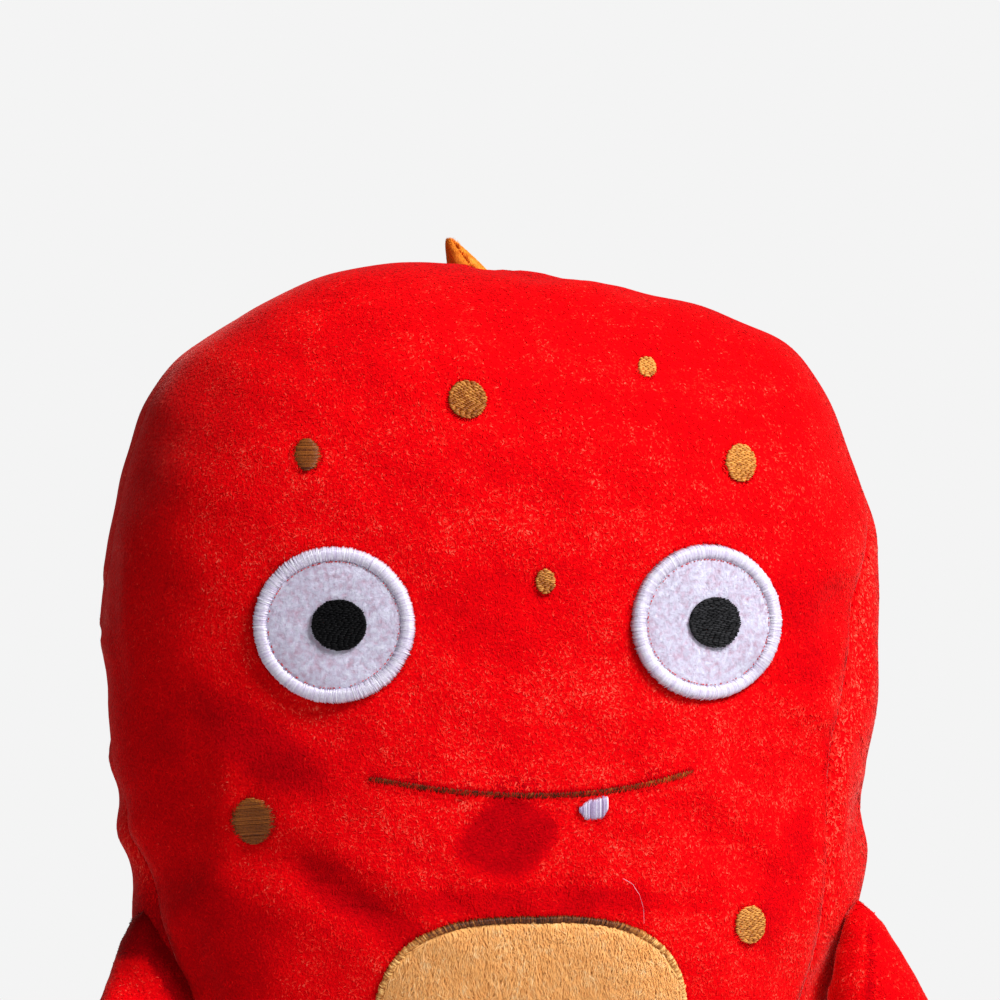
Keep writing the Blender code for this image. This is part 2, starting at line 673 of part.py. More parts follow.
def arm(side):
    """Paddle-shaped arm, narrow where it is sewn into the side seam."""
    sign = -1.0 if side == "left" else 1.0
    top_height = ARM_TOP_HEIGHT[side]
    top_x = side_half_width(top_height) - ARM_TOP_IN[side]

    def line(share):
        down = 1.0 - share
        x = top_x + ARM_REACH[side] * down**ARM_REACH_POWER
        return Vector((sign * x, -ARM_FORWARD, top_height - ARM_LENGTH * down))

    def girth(share):
        if share < ARM_HAND_SHARE:
            return math.sqrt(1.0 - (1.0 - share / ARM_HAND_SHARE) ** 2)
        narrowing = (share - ARM_HAND_SHARE) / (1.0 - ARM_HAND_SHARE)
        closing = math.sqrt(max(1.0 - narrowing**ARM_CLOSING_POWER, 0.0))
        return (1.0 - (1.0 - ARM_TOP_SHARE) * narrowing**ARM_NARROWING_POWER) * closing

    mesh = limb_mesh(line, girth, ARM_HALF_WIDTH, ARM_HALF_DEPTH, 16, 14, tip_rings=1.6)
    piece = make_object("arm_" + side, mesh, RED_PILE)
    cut_away(piece, bpy.data.objects["body_trim"])


def leg(side):
    """Stub leg, flat underneath, and the sole sewn under it."""
    sign = -1.0 if side == "left" else 1.0
    x = sign * LEG_SPACING / 2.0
    bottom = Vector((x, 0.0, -0.5 * LEG_HALF_WIDTH))
    top = Vector((x * LEG_TOP_SHARE, 0.0, underside_height(x) + LEG_SINK))

    def line(share):
        return bottom.lerp(top, share)

    def girth(share):
        return (1.0 - abs(2.0 * share - 1.0) ** LEG_SQUARENESS) ** (1.0 / LEG_SQUARENESS)

    mesh = limb_mesh(line, girth, LEG_HALF_WIDTH, LEG_HALF_DEPTH, 20, 16)
    halve(mesh, Vector((0.0, 0.0, SOLE_THICKNESS + CLEARANCE)), Vector((0.0, 0.0, -1.0)))
    piece = make_object("leg_" + side, mesh, RED_PILE)
    cut_away(piece, bpy.data.objects["body_trim"])

    mesh = bmesh.new()
    bmesh.ops.create_cone(
        mesh, cap_ends=True, segments=28, radius1=1.0, radius2=1.0, depth=SOLE_THICKNESS
    )
    for vertex in mesh.verts:
        vertex.co.x = x + vertex.co.x * SOLE_HALF_SIZE[0]
        vertex.co.y *= SOLE_HALF_SIZE[1]
        vertex.co.z += SOLE_THICKNESS / 2.0
    sole = make_object("sole_" + side, mesh, RED_PILE)
    edge = sole.modifiers.new("edge", "BEVEL")
    edge.width = SOLE_EDGE
    edge.segments = 1
    edge.limit_method = "ANGLE"


def spike():
    """Soft spike of two cloths that meet in a seam along its middle."""
    psi = math.radians(90.0 + SPIKE_BACK_ANGLE)
    base = body_point(psi, math.pi / 2.0)
    upright = Vector((0.0, 0.0, 1.0))
    tip = base + upright * SPIKE_LENGTH - Vector((0.0, SPIKE_FORWARD, 0.0))
    root = base - upright * SPIKE_SINK

    def line(share):
        lean = SPIKE_LEAN * (1.0 - share) ** SPIKE_LEAN_POWER
        return tip.lerp(root, share) - Vector((lean, 0.0, 0.0))

    def girth(share):
        taper = min(share / SPIKE_TAPER_SHARE, 1.0) ** SPIKE_TAPER_POWER
        closing = math.sqrt(max(1.0 - share**SPIKE_CLOSING_POWER, 0.0))
        return taper * closing

    for side in ("left", "right"):
        sign = -1.0 if side == "left" else 1.0
        mesh = limb_mesh(line, girth, SPIKE_HALF_WIDTH, SPIKE_HALF_DEPTH, 16, 9, tip_rings=1.3)
        leaning = line(0.0) - base
        across = Vector((leaning.z, 0.0, -leaning.x)).normalized()
        halve(mesh, line(0.0) + across * sign * CLEARANCE / 2.0, across * -sign)
        colour = ORANGE_SHADE if side == "left" else ORANGE_PILE
        piece = make_object("spike_" + side + "_cloth", mesh, colour)
        cut_away(piece, bpy.data.objects["body_trim"])


def clear_scene():
    for item in list(bpy.data.objects):
        bpy.data.objects.remove(item)


def make_collection(name):
    collection = bpy.data.collections.new(name)
    bpy.context.scene.collection.children.link(collection)
    return collection


clear_scene()
TOY = make_collection("plush_monster")
CUTTERS = make_collection("cutters")

trimming_body()
squeaker_pocket()
front_panel()
back_panel("left")
back_panel("right")
filling("front_filling", True)
filling("back_filling", False)
squeaker()
eye("left")
eye("right")
mouth()
tooth()
spots()
tummy()
arm("left")
arm("right")
leg("left")
leg("right")
spike()
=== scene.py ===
# %% [markdown]
# # A plush monster dog toy
# The toy is a stuffed pillow of red pile cloth with a face sewn on it.  The solid model gives
# every piece its place and size.  This notebook dresses it: cloth that swells over its filling,
# short pile sown tuft by tuft, felt eyes, and embroidery laid thread by thread.

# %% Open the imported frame
import math

import bpy
import numpy as np
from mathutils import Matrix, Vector
from mathutils.bvhtree import BVHTree
from mathutils.kdtree import KDTree


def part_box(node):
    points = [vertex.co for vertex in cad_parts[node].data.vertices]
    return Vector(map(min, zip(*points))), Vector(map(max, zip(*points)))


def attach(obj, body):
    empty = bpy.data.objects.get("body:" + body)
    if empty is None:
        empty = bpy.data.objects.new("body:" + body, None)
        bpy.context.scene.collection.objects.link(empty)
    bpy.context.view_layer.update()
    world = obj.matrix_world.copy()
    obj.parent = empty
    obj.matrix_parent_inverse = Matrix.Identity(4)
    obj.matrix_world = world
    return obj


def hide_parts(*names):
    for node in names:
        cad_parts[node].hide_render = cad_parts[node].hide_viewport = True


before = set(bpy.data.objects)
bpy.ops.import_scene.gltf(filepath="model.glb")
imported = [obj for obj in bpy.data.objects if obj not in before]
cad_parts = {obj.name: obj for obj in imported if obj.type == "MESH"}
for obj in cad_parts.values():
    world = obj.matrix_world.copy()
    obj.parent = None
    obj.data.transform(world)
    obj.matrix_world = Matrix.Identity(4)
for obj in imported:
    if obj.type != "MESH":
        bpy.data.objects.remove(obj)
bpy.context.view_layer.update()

MM = 0.001
print("nodes in the frame:", len(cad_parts))

# %% [markdown]
# ## The camera
# A long lens about a metre away shows a small toy without distortion.  It could stand straight
# in front, but the photographer stood a little to the left, so the camera does as well.

# %% Place the camera
CAMERA_YAW = math.radians(7.0)
CAMERA_DISTANCE = 1.0
CAMERA_LENS = 200.0
AIM_ASIDE = 1.8 * MM
AIM_HEIGHT = 161.66 * MM

forward = Vector((math.sin(CAMERA_YAW), math.cos(CAMERA_YAW), 0.0))
aside = Vector((math.cos(CAMERA_YAW), -math.sin(CAMERA_YAW), 0.0))
aim = aside * AIM_ASIDE + Vector((0.0, 0.0, AIM_HEIGHT))
bpy.ops.object.camera_add(
    location=aim - forward * CAMERA_DISTANCE, rotation=(math.pi / 2.0, 0.0, -CAMERA_YAW)
)
camera = bpy.context.object
camera.name = "photo_camera"
camera.data.lens = CAMERA_LENS
camera.data.clip_end = 50.0
bpy.context.scene.camera = camera
print("camera at", [round(value, 4) for value in camera.location])

# %% [markdown]
# ## Sky
# The photo has a plain pale ground and little light from around.  A backdrop could be built, but
# a sky that is shown pale to the camera and shines only faintly on the toy does both.

# %% Make the sky
SKY_SHOWN = (0.905, 0.905, 0.905, 1.0)
SKY_LIGHT = (0.20, 0.20, 0.21, 1.0)

bpy.context.scene.view_settings.view_transform = "Standard"
sky = bpy.data.worlds.new("pale_sky")
sky.use_nodes = True
sky_nodes = sky.node_tree.nodes
sky_links = sky.node_tree.links
shining = sky_nodes["Background"]
shining.inputs["Color"].default_value = SKY_LIGHT
shown = sky_nodes.new("ShaderNodeBackground")
shown.inputs["Color"].default_value = SKY_SHOWN
ray = sky_nodes.new("ShaderNodeLightPath")
either = sky_nodes.new("ShaderNodeMixShader")
sky_links.new(ray.outputs["Is Camera Ray"], either.inputs["Fac"])
sky_links.new(shining.outputs["Background"], either.inputs[1])
sky_links.new(shown.outputs["Background"], either.inputs[2])
sky_links.new(either.outputs["Shader"], sky_nodes["World Output"].inputs["Surface"])
bpy.context.scene.world = sky
print("sky shown at", SKY_SHOWN[0], "and shining at", SKY_LIGHT[0])

# %% [markdown]
# ## Floor
# The toy stands on a pale round sheet that takes its shadow.  It fades out before its edge, so no
# horizon shows in any view, which a plain plane would leave.

# %% Lay the floor
FLOOR_RADIUS = 0.6
FLOOR_FADE = (0.22, 0.55)
FLOOR_COLOUR = (0.80, 0.80, 0.80, 1.0)

bpy.ops.object.select_all(action="DESELECT")
bpy.ops.mesh.primitive_circle_add(vertices=96, radius=FLOOR_RADIUS, fill_type="NGON")
floor = bpy.context.object
floor.name = "pale_floor"
floor_material = bpy.data.materials.new("pale_floor")
floor_material.use_nodes = True
floor_nodes = floor_material.node_tree.nodes
floor_links = floor_material.node_tree.links
floor_shader = floor_nodes["Principled BSDF"]
floor_shader.inputs["Base Color"].default_value = FLOOR_COLOUR
floor_shader.inputs["Roughness"].default_value = 0.9
floor_shader.inputs["Specular IOR Level"].default_value = 0.0
floor_place = floor_nodes.new("ShaderNodeTexCoord")
from_centre = floor_nodes.new("ShaderNodeVectorMath")
from_centre.operation = "LENGTH"
fade = floor_nodes.new("ShaderNodeMapRange")
fade.interpolation_type = "SMOOTHSTEP"
fade.inputs["From Min"].default_value = FLOOR_FADE[0]
fade.inputs["From Max"].default_value = FLOOR_FADE[1]
gone = floor_nodes.new("ShaderNodeBsdfTransparent")
faded = floor_nodes.new("ShaderNodeMixShader")
floor_links.new(floor_place.outputs["Object"], from_centre.inputs[0])
floor_links.new(from_centre.outputs["Value"], fade.inputs["Value"])
floor_links.new(fade.outputs["Result"], faded.inputs["Fac"])
floor_links.new(floor_shader.outputs["BSDF"], faded.inputs[1])
floor_links.new(gone.outputs["BSDF"], faded.inputs[2])
floor_links.new(faded.outputs["Shader"], floor_nodes["Material Output"].inputs["Surface"])
floor.data.materials.append(floor_material)
print("floor of", 2 * FLOOR_RADIUS, "m")

# %% [markdown]
# ## Key light
# One broad light stands high on the right and in front.  A sun would give hard edges to the
# shadows, while this square one gives them the soft edges of a studio lamp.

# %% Hang the light
KEY_PLACE = Vector((0.62, -0.68, 0.98))
KEY_AIM = Vector((0.0, 0.0, 0.13))
KEY_SIZE = 0.4
KEY_POWER = 23.6

bpy.ops.object.light_add(
    type="AREA",
    location=KEY_PLACE,
    rotation=(KEY_AIM - KEY_PLACE).to_track_quat("-Z", "Y").to_euler(),
)
key = bpy.context.object
key.name = "key_light"
key.data.size = KEY_SIZE
key.data.energy = KEY_POWER
print("one key light of", KEY_POWER, "W under an even sky")

# %% [markdown]
# ## The stuffed body
# The body is a pillow: a rounded outline, fuller in the middle, drawn in where it is sewn.  It
# could be pushed into shape by hand, but the cloth has to meet the solid model all round, so
# the same few sizes that made the solid are used again here for a much finer surface.

# %% Sizes of the body
BODY_HALF_WIDTH = 70.0 * MM
CROWN_HEIGHT = 204.0 * MM
WIDEST_HEIGHT = 144.0 * MM
BODY_BOTTOM = 28.0 * MM
FACE_DEPTH = 40.0 * MM
BELLY_SWELL = 2.4 * MM
BELLY_HEIGHT = 72.0 * MM
BELLY_REACH = 50.0 * MM
BACK_DEPTH = 42.6 * MM
CROWN_ROUNDNESS = 2.45
LOWER_ROUNDNESS = 2.5
SWELL_ROUNDNESS = 2.3
CROWN_SWAY = 1.7 * MM
CROWN_SWAY_REACH = 52.0 * MM
SEAM_TUCK = 0.9 * MM
TUCK_START = 0.92
BACK_SEAM_VALLEY = 4.0 * MM
RING_SPREAD = 1.3
FRONT_SEAM_LEFT = ((-90, 0.0), (-60, 0.36), (-38, 0.42), (-22, 0.34), (-8, 0.04), (4, 0.0))
FRONT_SEAM_RIGHT = ((-90, 0.0), (-60, 0.38), (-34, 0.48), (-12, 0.6), (0, 0.5), (14, 0.2), (32, 0.0))
# Soft folds in the front: two ends as (x, z), how deep they press in, half width
FOLDS = (
    ((46, 174), (59, 181), 1.5, 4.5),
    ((-37, 99), (-24, 91), 1.3, 4.5),
    ((-55, 186), (-54, 180), 1.0, 5.0),
    ((49, 96), (53, 112), 1.2, 5.0),
    ((-50.3, 103), (-50.3, 118.7), -1.3, 3.0),
    ((-57.5, 99), (-58.5, 122), 1.0, 5.0),
    ((-41, 122), (-36, 124), 0.9, 3.5),
    ((-31, 100), (-20, 95), -0.8, 4.0),
    ((-12, 92.5), (-8, 88.5), 0.6, 2.2),
    ((-2, 93.5), (-1, 89.5), 0.6, 2.0),
    ((9, 93.5), (10, 89.5), 0.6, 2.0),
    ((19, 92.5), (17, 89.0), 0.6, 2.2),
)
# Where the outline bulges or dents: place (x, z), how far out, reach
BULGES = (
    ((-66, 169), -1.5, 13),
    ((-61, 185), 0.4, 9),
    ((-71, 156), -1.3, 10),
    ((-71, 139), 1.2, 11),
    ((-69, 122), -0.8, 8),
    ((-71, 131), -0.7, 6),
    ((-67, 98), -2.2, 13),
    ((-68, 108.5), -0.9, 4),
    ((-68, 102), 1.3, 4),
    ((-66, 93), -0.6, 6),
    ((70, 113.5), -2.3, 9),
    ((68, 107), -0.8, 4),
    ((66, 99.5), 0.4, 3),
    ((66, 172), -1.4, 11),
    ((-34, 204), -1.2, 16),
    ((-46, 197), -0.6, 8),
    ((1, 206), 0.6, 3),
    ((-10, 206), -0.6, 9),
    ((32, 199), -1.4, 13),
    ((53, 187), 1.2, 8),
)
BULGE_BELT = 24.0 * MM


def signed_power(value, exponent):
    return np.sign(value) * np.abs(value) ** exponent


def smooth_step(low, high, value):
    share = np.clip((value - low) / (high - low), 0.0, 1.0)
    return share * share * (3.0 - 2.0 * share)


def unit(vectors):
    return vectors / np.maximum(np.linalg.norm(vectors, axis=-1, keepdims=True), 1e-12)


print("body", 2000 * BODY_HALF_WIDTH, "mm wide,", len(FOLDS), "soft folds")

# %% [markdown]
# ## The body as a formula
# Two angles name each place of the pillow: theta runs round its outline, psi from the middle of
# the face to the middle of the back.  A ball could be scaled and pulled about instead, but with a
# formula every panel and seam is drawn from the same form.

# %% Shape of the pillow
def front_depth(z):
    from_belly = (z - BELLY_HEIGHT) / BELLY_REACH
    return FACE_DEPTH + BELLY_SWELL * np.exp(-from_belly * from_belly)


def crown_sway(x, z):
    rise = (np.maximum(z - WIDEST_HEIGHT, 0.0) / (CROWN_HEIGHT - WIDEST_HEIGHT)) ** 2
    inside = np.abs(x) < CROWN_SWAY_REACH
    return -CROWN_SWAY * np.sin(math.pi * x / CROWN_SWAY_REACH) * rise * inside


def fold_depth(x, z):
    total = np.zeros_like(x)
    for start, end, depth, half_width in FOLDS:
        first = np.array(start) * MM
        along = np.array(end) * MM - first
        share = ((x - first[0]) * along[0] + (z - first[1]) * along[1]) / along.dot(along)
        share = np.clip(share, 0.0, 1.0)
        off = np.hypot(x - first[0] - along[0] * share, z - first[1] - along[1] * share)
        total += depth * MM * np.exp(-((off / (half_width * MM)) ** 2))
    return total


def body_point(psi, theta):
    """Points of the body, psi from the middle of the face to the middle of the back."""
    upper = np.sin(theta) >= 0.0
    height = np.where(upper, CROWN_HEIGHT - WIDEST_HEIGHT, WIDEST_HEIGHT - BODY_BOTTOM)
    power = 2.0 / np.where(upper, CROWN_ROUNDNESS, LOWER_ROUNDNESS)
    reach = np.maximum(np.sin(psi), 0.0) ** (2.0 / SWELL_ROUNDNESS)
    x = BODY_HALF_WIDTH * reach * signed_power(np.cos(theta), power)
    z = WIDEST_HEIGHT + height * reach * signed_power(np.sin(theta), power)
    share = signed_power(np.cos(psi), 2.0 / SWELL_ROUNDNESS)
    front = -(front_depth(z) - fold_depth(x, z)) * share
    y = np.where(share > 0.0, front, -BACK_DEPTH * share)
    return np.stack([x, y, z + crown_sway(x, z)], axis=-1)


print("front of the body at mid height:", body_point(np.array([0.0]), np.array([0.0]))[0])

# %% [markdown]
# ## Where the seams run
# The seam between front and back starts at the side and wanders towards the face low down.  It
# could be drawn as a curve on the body.  Here it is a share of the way round, read off a few
# points for each side, and the cloth sinks in beside it as the thread of a real seam pulls it.

# %% Draw the cloth in at the seams
SLOPE_STEP = 0.02
POLE_SHARE = 0.05


def read_line(points, place):
    """Height of a smooth curve through (place, height) points, level past its ends."""
    places, heights = np.array(points, float).T
    slopes = np.zeros(len(points))
    slopes[1:-1] = (heights[2:] - heights[:-2]) / (places[2:] - places[:-2])
    place = np.clip(place, places[0], places[-1])
    index = np.clip(np.searchsorted(places, place, side="right") - 1, 0, len(points) - 2)
    width = places[index + 1] - places[index]
    share = (place - places[index]) / width
    rise = share * share * (3.0 - 2.0 * share)
    lead = slopes[index] * width * share * (1.0 - share) ** 2
    tail = slopes[index + 1] * width * share**2 * (1.0 - share)
    return heights[index] + (heights[index + 1] - heights[index]) * rise + lead - tail


def seam_angle(theta):
    """Angle psi of the front seam, which wanders towards the face low down."""
    degrees = np.degrees(theta)
    mirrored = np.where(degrees > 0.0, 180.0 - degrees, -180.0 - degrees)
    on_right = read_line(FRONT_SEAM_RIGHT, degrees)
    on_left = read_line(FRONT_SEAM_LEFT, mirrored)
    share = np.where(np.cos(theta) >= 0.0, on_right, on_left)
    return np.arccos(np.maximum(share, 0.0) ** (SWELL_ROUNDNESS / 2.0))


def skin_point(radius, theta, front):
    """Skin at a share radius from the middle of a side to its seam, drawn in at the seams."""
    seam = seam_angle(theta)
    share = radius**RING_SPREAD
    psi = np.where(front, share * seam, math.pi - share * (math.pi - seam))
    point = body_point(psi, theta)
    across = body_point(psi + SLOPE_STEP, theta) - body_point(psi - SLOPE_STEP, theta)
    along = body_point(psi, theta + SLOPE_STEP) - body_point(psi, theta - SLOPE_STEP)
    normal = unit(np.cross(along, across))
    level = np.sin(psi) < POLE_SHARE
    normal[level] = 0.0
    normal[level, 1] = -np.sign(np.cos(psi[level]))
    out_of = point - np.array([0.0, 0.0, WIDEST_HEIGHT])
    normal *= np.where((normal * out_of).sum(-1) < 0.0, -1.0, 1.0)[:, None]
    tuck = (np.maximum(radius - TUCK_START, 0.0) / (1.0 - TUCK_START)) ** 2
    valley = np.where(front, 0.0, 1.0 - np.abs(point[:, 0]) / BACK_SEAM_VALLEY)
    return point - normal * (SEAM_TUCK * np.maximum(tuck, valley))[:, None]


print("front seam on the right at psi", round(float(seam_angle(np.array([0.0]))[0]), 2))

# %% [markdown]
# ## Helpers for meshes
# An operator acts on all that is selected, so each new shape is added with nothing selected.
# Points are read and written as one array, which is quicker than one by one.

# %% Add, read and move
SIDES = ("left", "right")


def add_piece(name, operator, **sizes):
    """Adds a primitive with nothing else selected and names it."""
    bpy.ops.object.select_all(action="DESELECT")
    operator(**sizes)
    piece = bpy.context.object
    piece.name = name
    return piece


def link_piece(name, mesh):
    piece = bpy.data.objects.new(name, mesh)
    bpy.context.scene.collection.objects.link(piece)
    return piece


def points_of(mesh):
    values = np.empty(len(mesh.vertices) * 3)
    mesh.vertices.foreach_get("co", values)
    return values.reshape(-1, 3)


def move_points(mesh, points):
    mesh.vertices.foreach_set("co", np.ascontiguousarray(points, dtype=np.float64).ravel())
    mesh.update()


def select_only(piece):
    bpy.ops.object.select_all(action="DESELECT")
    piece.select_set(True)
    bpy.context.view_layer.objects.active = piece


def apply_modifiers(piece):
    select_only(piece)
    for modifier in list(piece.modifiers):
        bpy.ops.object.modifier_apply(modifier=modifier.name)


def face_outwards(piece):
    select_only(piece)
    bpy.ops.object.mode_set(mode="EDIT")
    bpy.ops.mesh.select_all(action="SELECT")
    bpy.ops.mesh.normals_make_consistent(inside=False)
    bpy.ops.object.mode_set(mode="OBJECT")


def normals_of(mesh):
    values = np.empty(len(mesh.vertices) * 3)
    mesh.vertices.foreach_get("normal", values)
    return values.reshape(-1, 3)


def find_tree(points):
    """Tree that finds the nearest of many points quickly."""
    tree = KDTree(len(points))
    for index, point in enumerate(points):
        tree.insert(point, index)
    tree.balance()
    return tree


print("helpers ready for", " and ".join(SIDES))

# %% [markdown]
# ## Filling pushes the cloth out
# Cloth that is sewn at its edges and stuffed from inside swells between the seams and puckers
# beside them.  Such puckers could be sculpted, but a short cloth simulation finds them by
# itself: a coarse pillow is held at its seams, blown up for twenty frames, and the way that
# each point has moved is kept and later given to the fine cloth.

# %% Blow up the pillow
PRESSURE = 4.0
SLACK = -0.012
SIMULATED_FRAMES = 20
SWELL_CAP = 1.1 * MM
HELD_SHARE = 0.975
HELD_BACK_SEAM = 1.5 * MM


def let_cloth_swell(piece, held, pressure=PRESSURE, slack=SLACK, cap=SWELL_CAP):
    """Runs Blender's cloth on a closed mesh held where held is 1, and moves its points."""
    start = points_of(piece.data)
    group = piece.vertex_groups.new(name="held")
    for index in np.flatnonzero(held > 0.0):
        group.add([int(index)], float(held[index]), "REPLACE")
    cloth = piece.modifiers.new("stuffing", "CLOTH")
    settings = cloth.settings
    settings.quality = 6
    settings.mass = 0.2
    settings.use_pressure = True
    settings.uniform_pressure_force = pressure
    settings.shrink_min = slack
    settings.bending_stiffness = 0.25
    settings.vertex_group_mass = "held"
    settings.effector_weights.gravity = 0.0
    cloth.point_cache.frame_start = 1
    cloth.point_cache.frame_end = SIMULATED_FRAMES
    for number in range(1, SIMULATED_FRAMES + 1):
        bpy.context.scene.frame_set(number)
    swollen = piece.evaluated_get(bpy.context.evaluated_depsgraph_get())
    moved = points_of(swollen.data) - start
    piece.modifiers.remove(cloth)
    piece.vertex_groups.remove(group)
    bpy.context.scene.frame_set(1)
    length = np.maximum(np.linalg.norm(moved, axis=1, keepdims=True), 1e-12)
    moved *= cap * np.tanh(length / cap) / length
    move_points(piece.data, start + moved)
    return moved


pillow = add_piece("pillow", bpy.ops.mesh.primitive_uv_sphere_add, segments=96, ring_count=60, radius=1.0)
ball = points_of(pillow.data)
polar = np.arccos(np.clip(ball[:, 2], -1.0, 1.0)) / (math.pi / 2.0)
around = np.arctan2(ball[:, 1], ball[:, 0])
on_front = polar <= 1.0
from_middle = np.where(on_front, polar, 2.0 - polar)
pillow_start = skin_point(from_middle, around, on_front)
move_points(pillow.data, pillow_start)
near_seam = from_middle > HELD_SHARE
near_back_seam = ~on_front & (np.abs(pillow_start[:, 0]) < HELD_BACK_SEAM)
face_outwards(pillow)
swell = let_cloth_swell(pillow, (near_seam | near_back_seam).astype(float))
swell_tree = find_tree(pillow_start)
bpy.data.objects.remove(pillow)
print("cloth moved by up to", round(1000 * float(np.linalg.norm(swell, axis=1).max()), 2), "mm")

# %% [markdown]
# ## Three panels of cloth
# The real body is cut from one front and two back panels.  Each is made here as a grid that is
# drawn onto the body from the middle of its side to its seam, moved as the pillow swelled, and
# given the thickness of cloth.  A single closed body would be easier, but then the seams
# would only be painted on.

# %% Make the panels
PANEL_COLUMNS = 100
PANEL_ROWS = 120
ROW_DROP = 0.17
EDGE_CROWDING = 0.25
CLOTH_THICKNESS = 1.6 * MM
LUMP_HEIGHT = 0.28 * MM
SWELL_NEIGHBOURS = 8
SWELL_REACH = 3.0 * MM


def swell_at(points):
    """How far the pillow's simulation moved the cloth near each point."""
    moved = np.zeros_like(points)
    for index, point in enumerate(points):
        found = swell_tree.find_n(point, SWELL_NEIGHBOURS)
        weights = np.exp(-((np.array([item[2] for item in found]) / SWELL_REACH) ** 2)) + 1e-6
        near = swell[[item[1] for item in found]]
        moved[index] = (near * weights[:, None]).sum(0) / weights.sum()
    return moved


def stuffing_lumps(points):
    """Small uneven lumps of the fibre under the cloth."""
    rng = np.random.default_rng(5)
    total = np.zeros(len(points))
    for length in (34, 27, 21, 16, 12):
        direction = unit(rng.normal(size=3))
        phase = rng.uniform(0.0, 2.0 * math.pi)
        bend = rng.normal(size=3) * 9.0
        wave = points @ direction / (length * MM) * 2.0 * math.pi
        total += np.sin(wave + phase + np.sin(points @ bend * 8.0)) * length / 34.0
    return total * LUMP_HEIGHT


def bulge_shift(points):
    """Moves the belt that makes the outline, straight out or in."""
    height = points[:, 2] - WIDEST_HEIGHT
    half_height = np.where(height > 0.0, CROWN_HEIGHT - WIDEST_HEIGHT, WIDEST_HEIGHT - BODY_BOTTOM)
    power = CROWN_ROUNDNESS - 1.0
    outward = np.zeros_like(points)
    outward[:, 0] = signed_power(points[:, 0] / BODY_HALF_WIDTH, power) / BODY_HALF_WIDTH
    outward[:, 2] = signed_power(height / half_height, power) / half_height
    shift = np.zeros(len(points))
    for (x, z), rise, reach in BULGES:
        off = np.hypot(points[:, 0] - x * MM, points[:, 2] - z * MM) / (reach * MM)
        shift += rise * MM * np.exp(-off * off)
    shift *= np.exp(-((points[:, 1] / BULGE_BELT) ** 2))
    return unit(outward) * shift[:, None]


def crowd_edge(share):
    return share * (1.0 + EDGE_CROWDING * (1.0 - share * share))


def disc_place(s, t):
    """Share from the middle and angle on a round disc, for places on a square."""
    u = s * np.sqrt(1.0 - t * t / 2.0)
    v = t * np.sqrt(1.0 - s * s / 2.0)
    return np.minimum(np.hypot(u, v), 1.0), np.arctan2(v, u)


def add_grid(name, columns, rows):
    return add_piece(
        name, bpy.ops.mesh.primitive_grid_add, x_subdivisions=columns, y_subdivisions=rows, size=2
    )


def make_panel(name, side):
    """Outer surface of a panel: side is 0 for the front, -1 and 1 for the halves of the back."""
    panel = add_grid(name, PANEL_COLUMNS if side == 0 else PANEL_COLUMNS // 2, PANEL_ROWS)
    flat = points_of(panel.data)
    t = crowd_edge(flat[:, 1])
    t -= ROW_DROP * (1.0 - t * t)
    if side == 0:
        s = crowd_edge(flat[:, 0])
    else:
        s = side * crowd_edge((1.0 + side * flat[:, 0]) / 2.0)
    radius, angle = disc_place(s, t)
    points = skin_point(radius, angle, np.full(len(s), side == 0))
    points += swell_at(points) + bulge_shift(points)
    move_points(panel.data, points)
    if side != 0:
        panel.data.flip_normals()
    inner = (1.0 - 0.7 * smooth_step(0.9, 1.0, radius)) * stuffing_lumps(points)
    move_points(panel.data, points + normals_of(panel.data) * inner[:, None])
    panel.data.shade_smooth()
    print(name, len(panel.data.polygons), "quads")
    return panel


front_cloth = make_panel("front_cloth", 0)
back_cloth_left = make_panel("back_cloth_left", -1)
back_cloth_right = make_panel("back_cloth_right", 1)

# %% [markdown]
# ## A map of the face
# Eyes, mouth and spots are sewn onto the swollen cloth, so each of them needs its height at any
# place.  Shrinkwrap would do for one piece, but hundreds of threads are placed faster with a
# table: rays are shot at the cloth once, a millimetre apart, and read between afterwards.

# %% Measure the face
MAP_STEP = 1.0 * MM
MAP_LEFT = -66.0 * MM
MAP_LOW = 34.0 * MM
MAP_COLUMNS = 133
MAP_ROWS = 165

tree = BVHTree.FromObject(front_cloth, bpy.context.evaluated_depsgraph_get())
depth_map = np.zeros((MAP_ROWS, MAP_COLUMNS))
for row in range(MAP_ROWS):
    for column in range(MAP_COLUMNS):
        origin = Vector((MAP_LEFT + column * MAP_STEP, -0.2, MAP_LOW + row * MAP_STEP))
        hit = tree.ray_cast(origin, Vector((0.0, 1.0, 0.0)))[0]
        depth_map[row, column] = hit.y if hit is not None else 0.0
slope_z, slope_x = np.gradient(depth_map, MAP_STEP)


def read_map(table, x, z):
    across = np.clip((x - MAP_LEFT) / MAP_STEP, 0.0, MAP_COLUMNS - 1.001)
    up = np.clip((z - MAP_LOW) / MAP_STEP, 0.0, MAP_ROWS - 1.001)
    column = across.astype(int)
    row = up.astype(int)
    right = across - column
    over = up - row
    lower = table[row, column] * (1.0 - right) + table[row, column + 1] * right
    upper = table[row + 1, column] * (1.0 - right) + table[row + 1, column + 1] * right
    return lower * (1.0 - over) + upper * over


def face_normal(x, z):
    slopes = [read_map(slope_x, x, z), -np.ones_like(x), read_map(slope_z, x, z)]
    return unit(np.stack(slopes, axis=-1))


def on_cloth(x, z, lift):
    """Points lifted off the front cloth, for arrays of places."""
    x = np.asarray(x, float)
    z = np.asarray(z, float)
    lift = np.broadcast_to(lift, x.shape)
    base = np.stack([x, read_map(depth_map, x, z), z], axis=-1)
    return base + face_normal(x, z) * lift[..., None]


print("nose stands at y =", round(1000 * float(on_cloth([0.0], [0.14], 0.0)[0, 1]), 1), "mm")

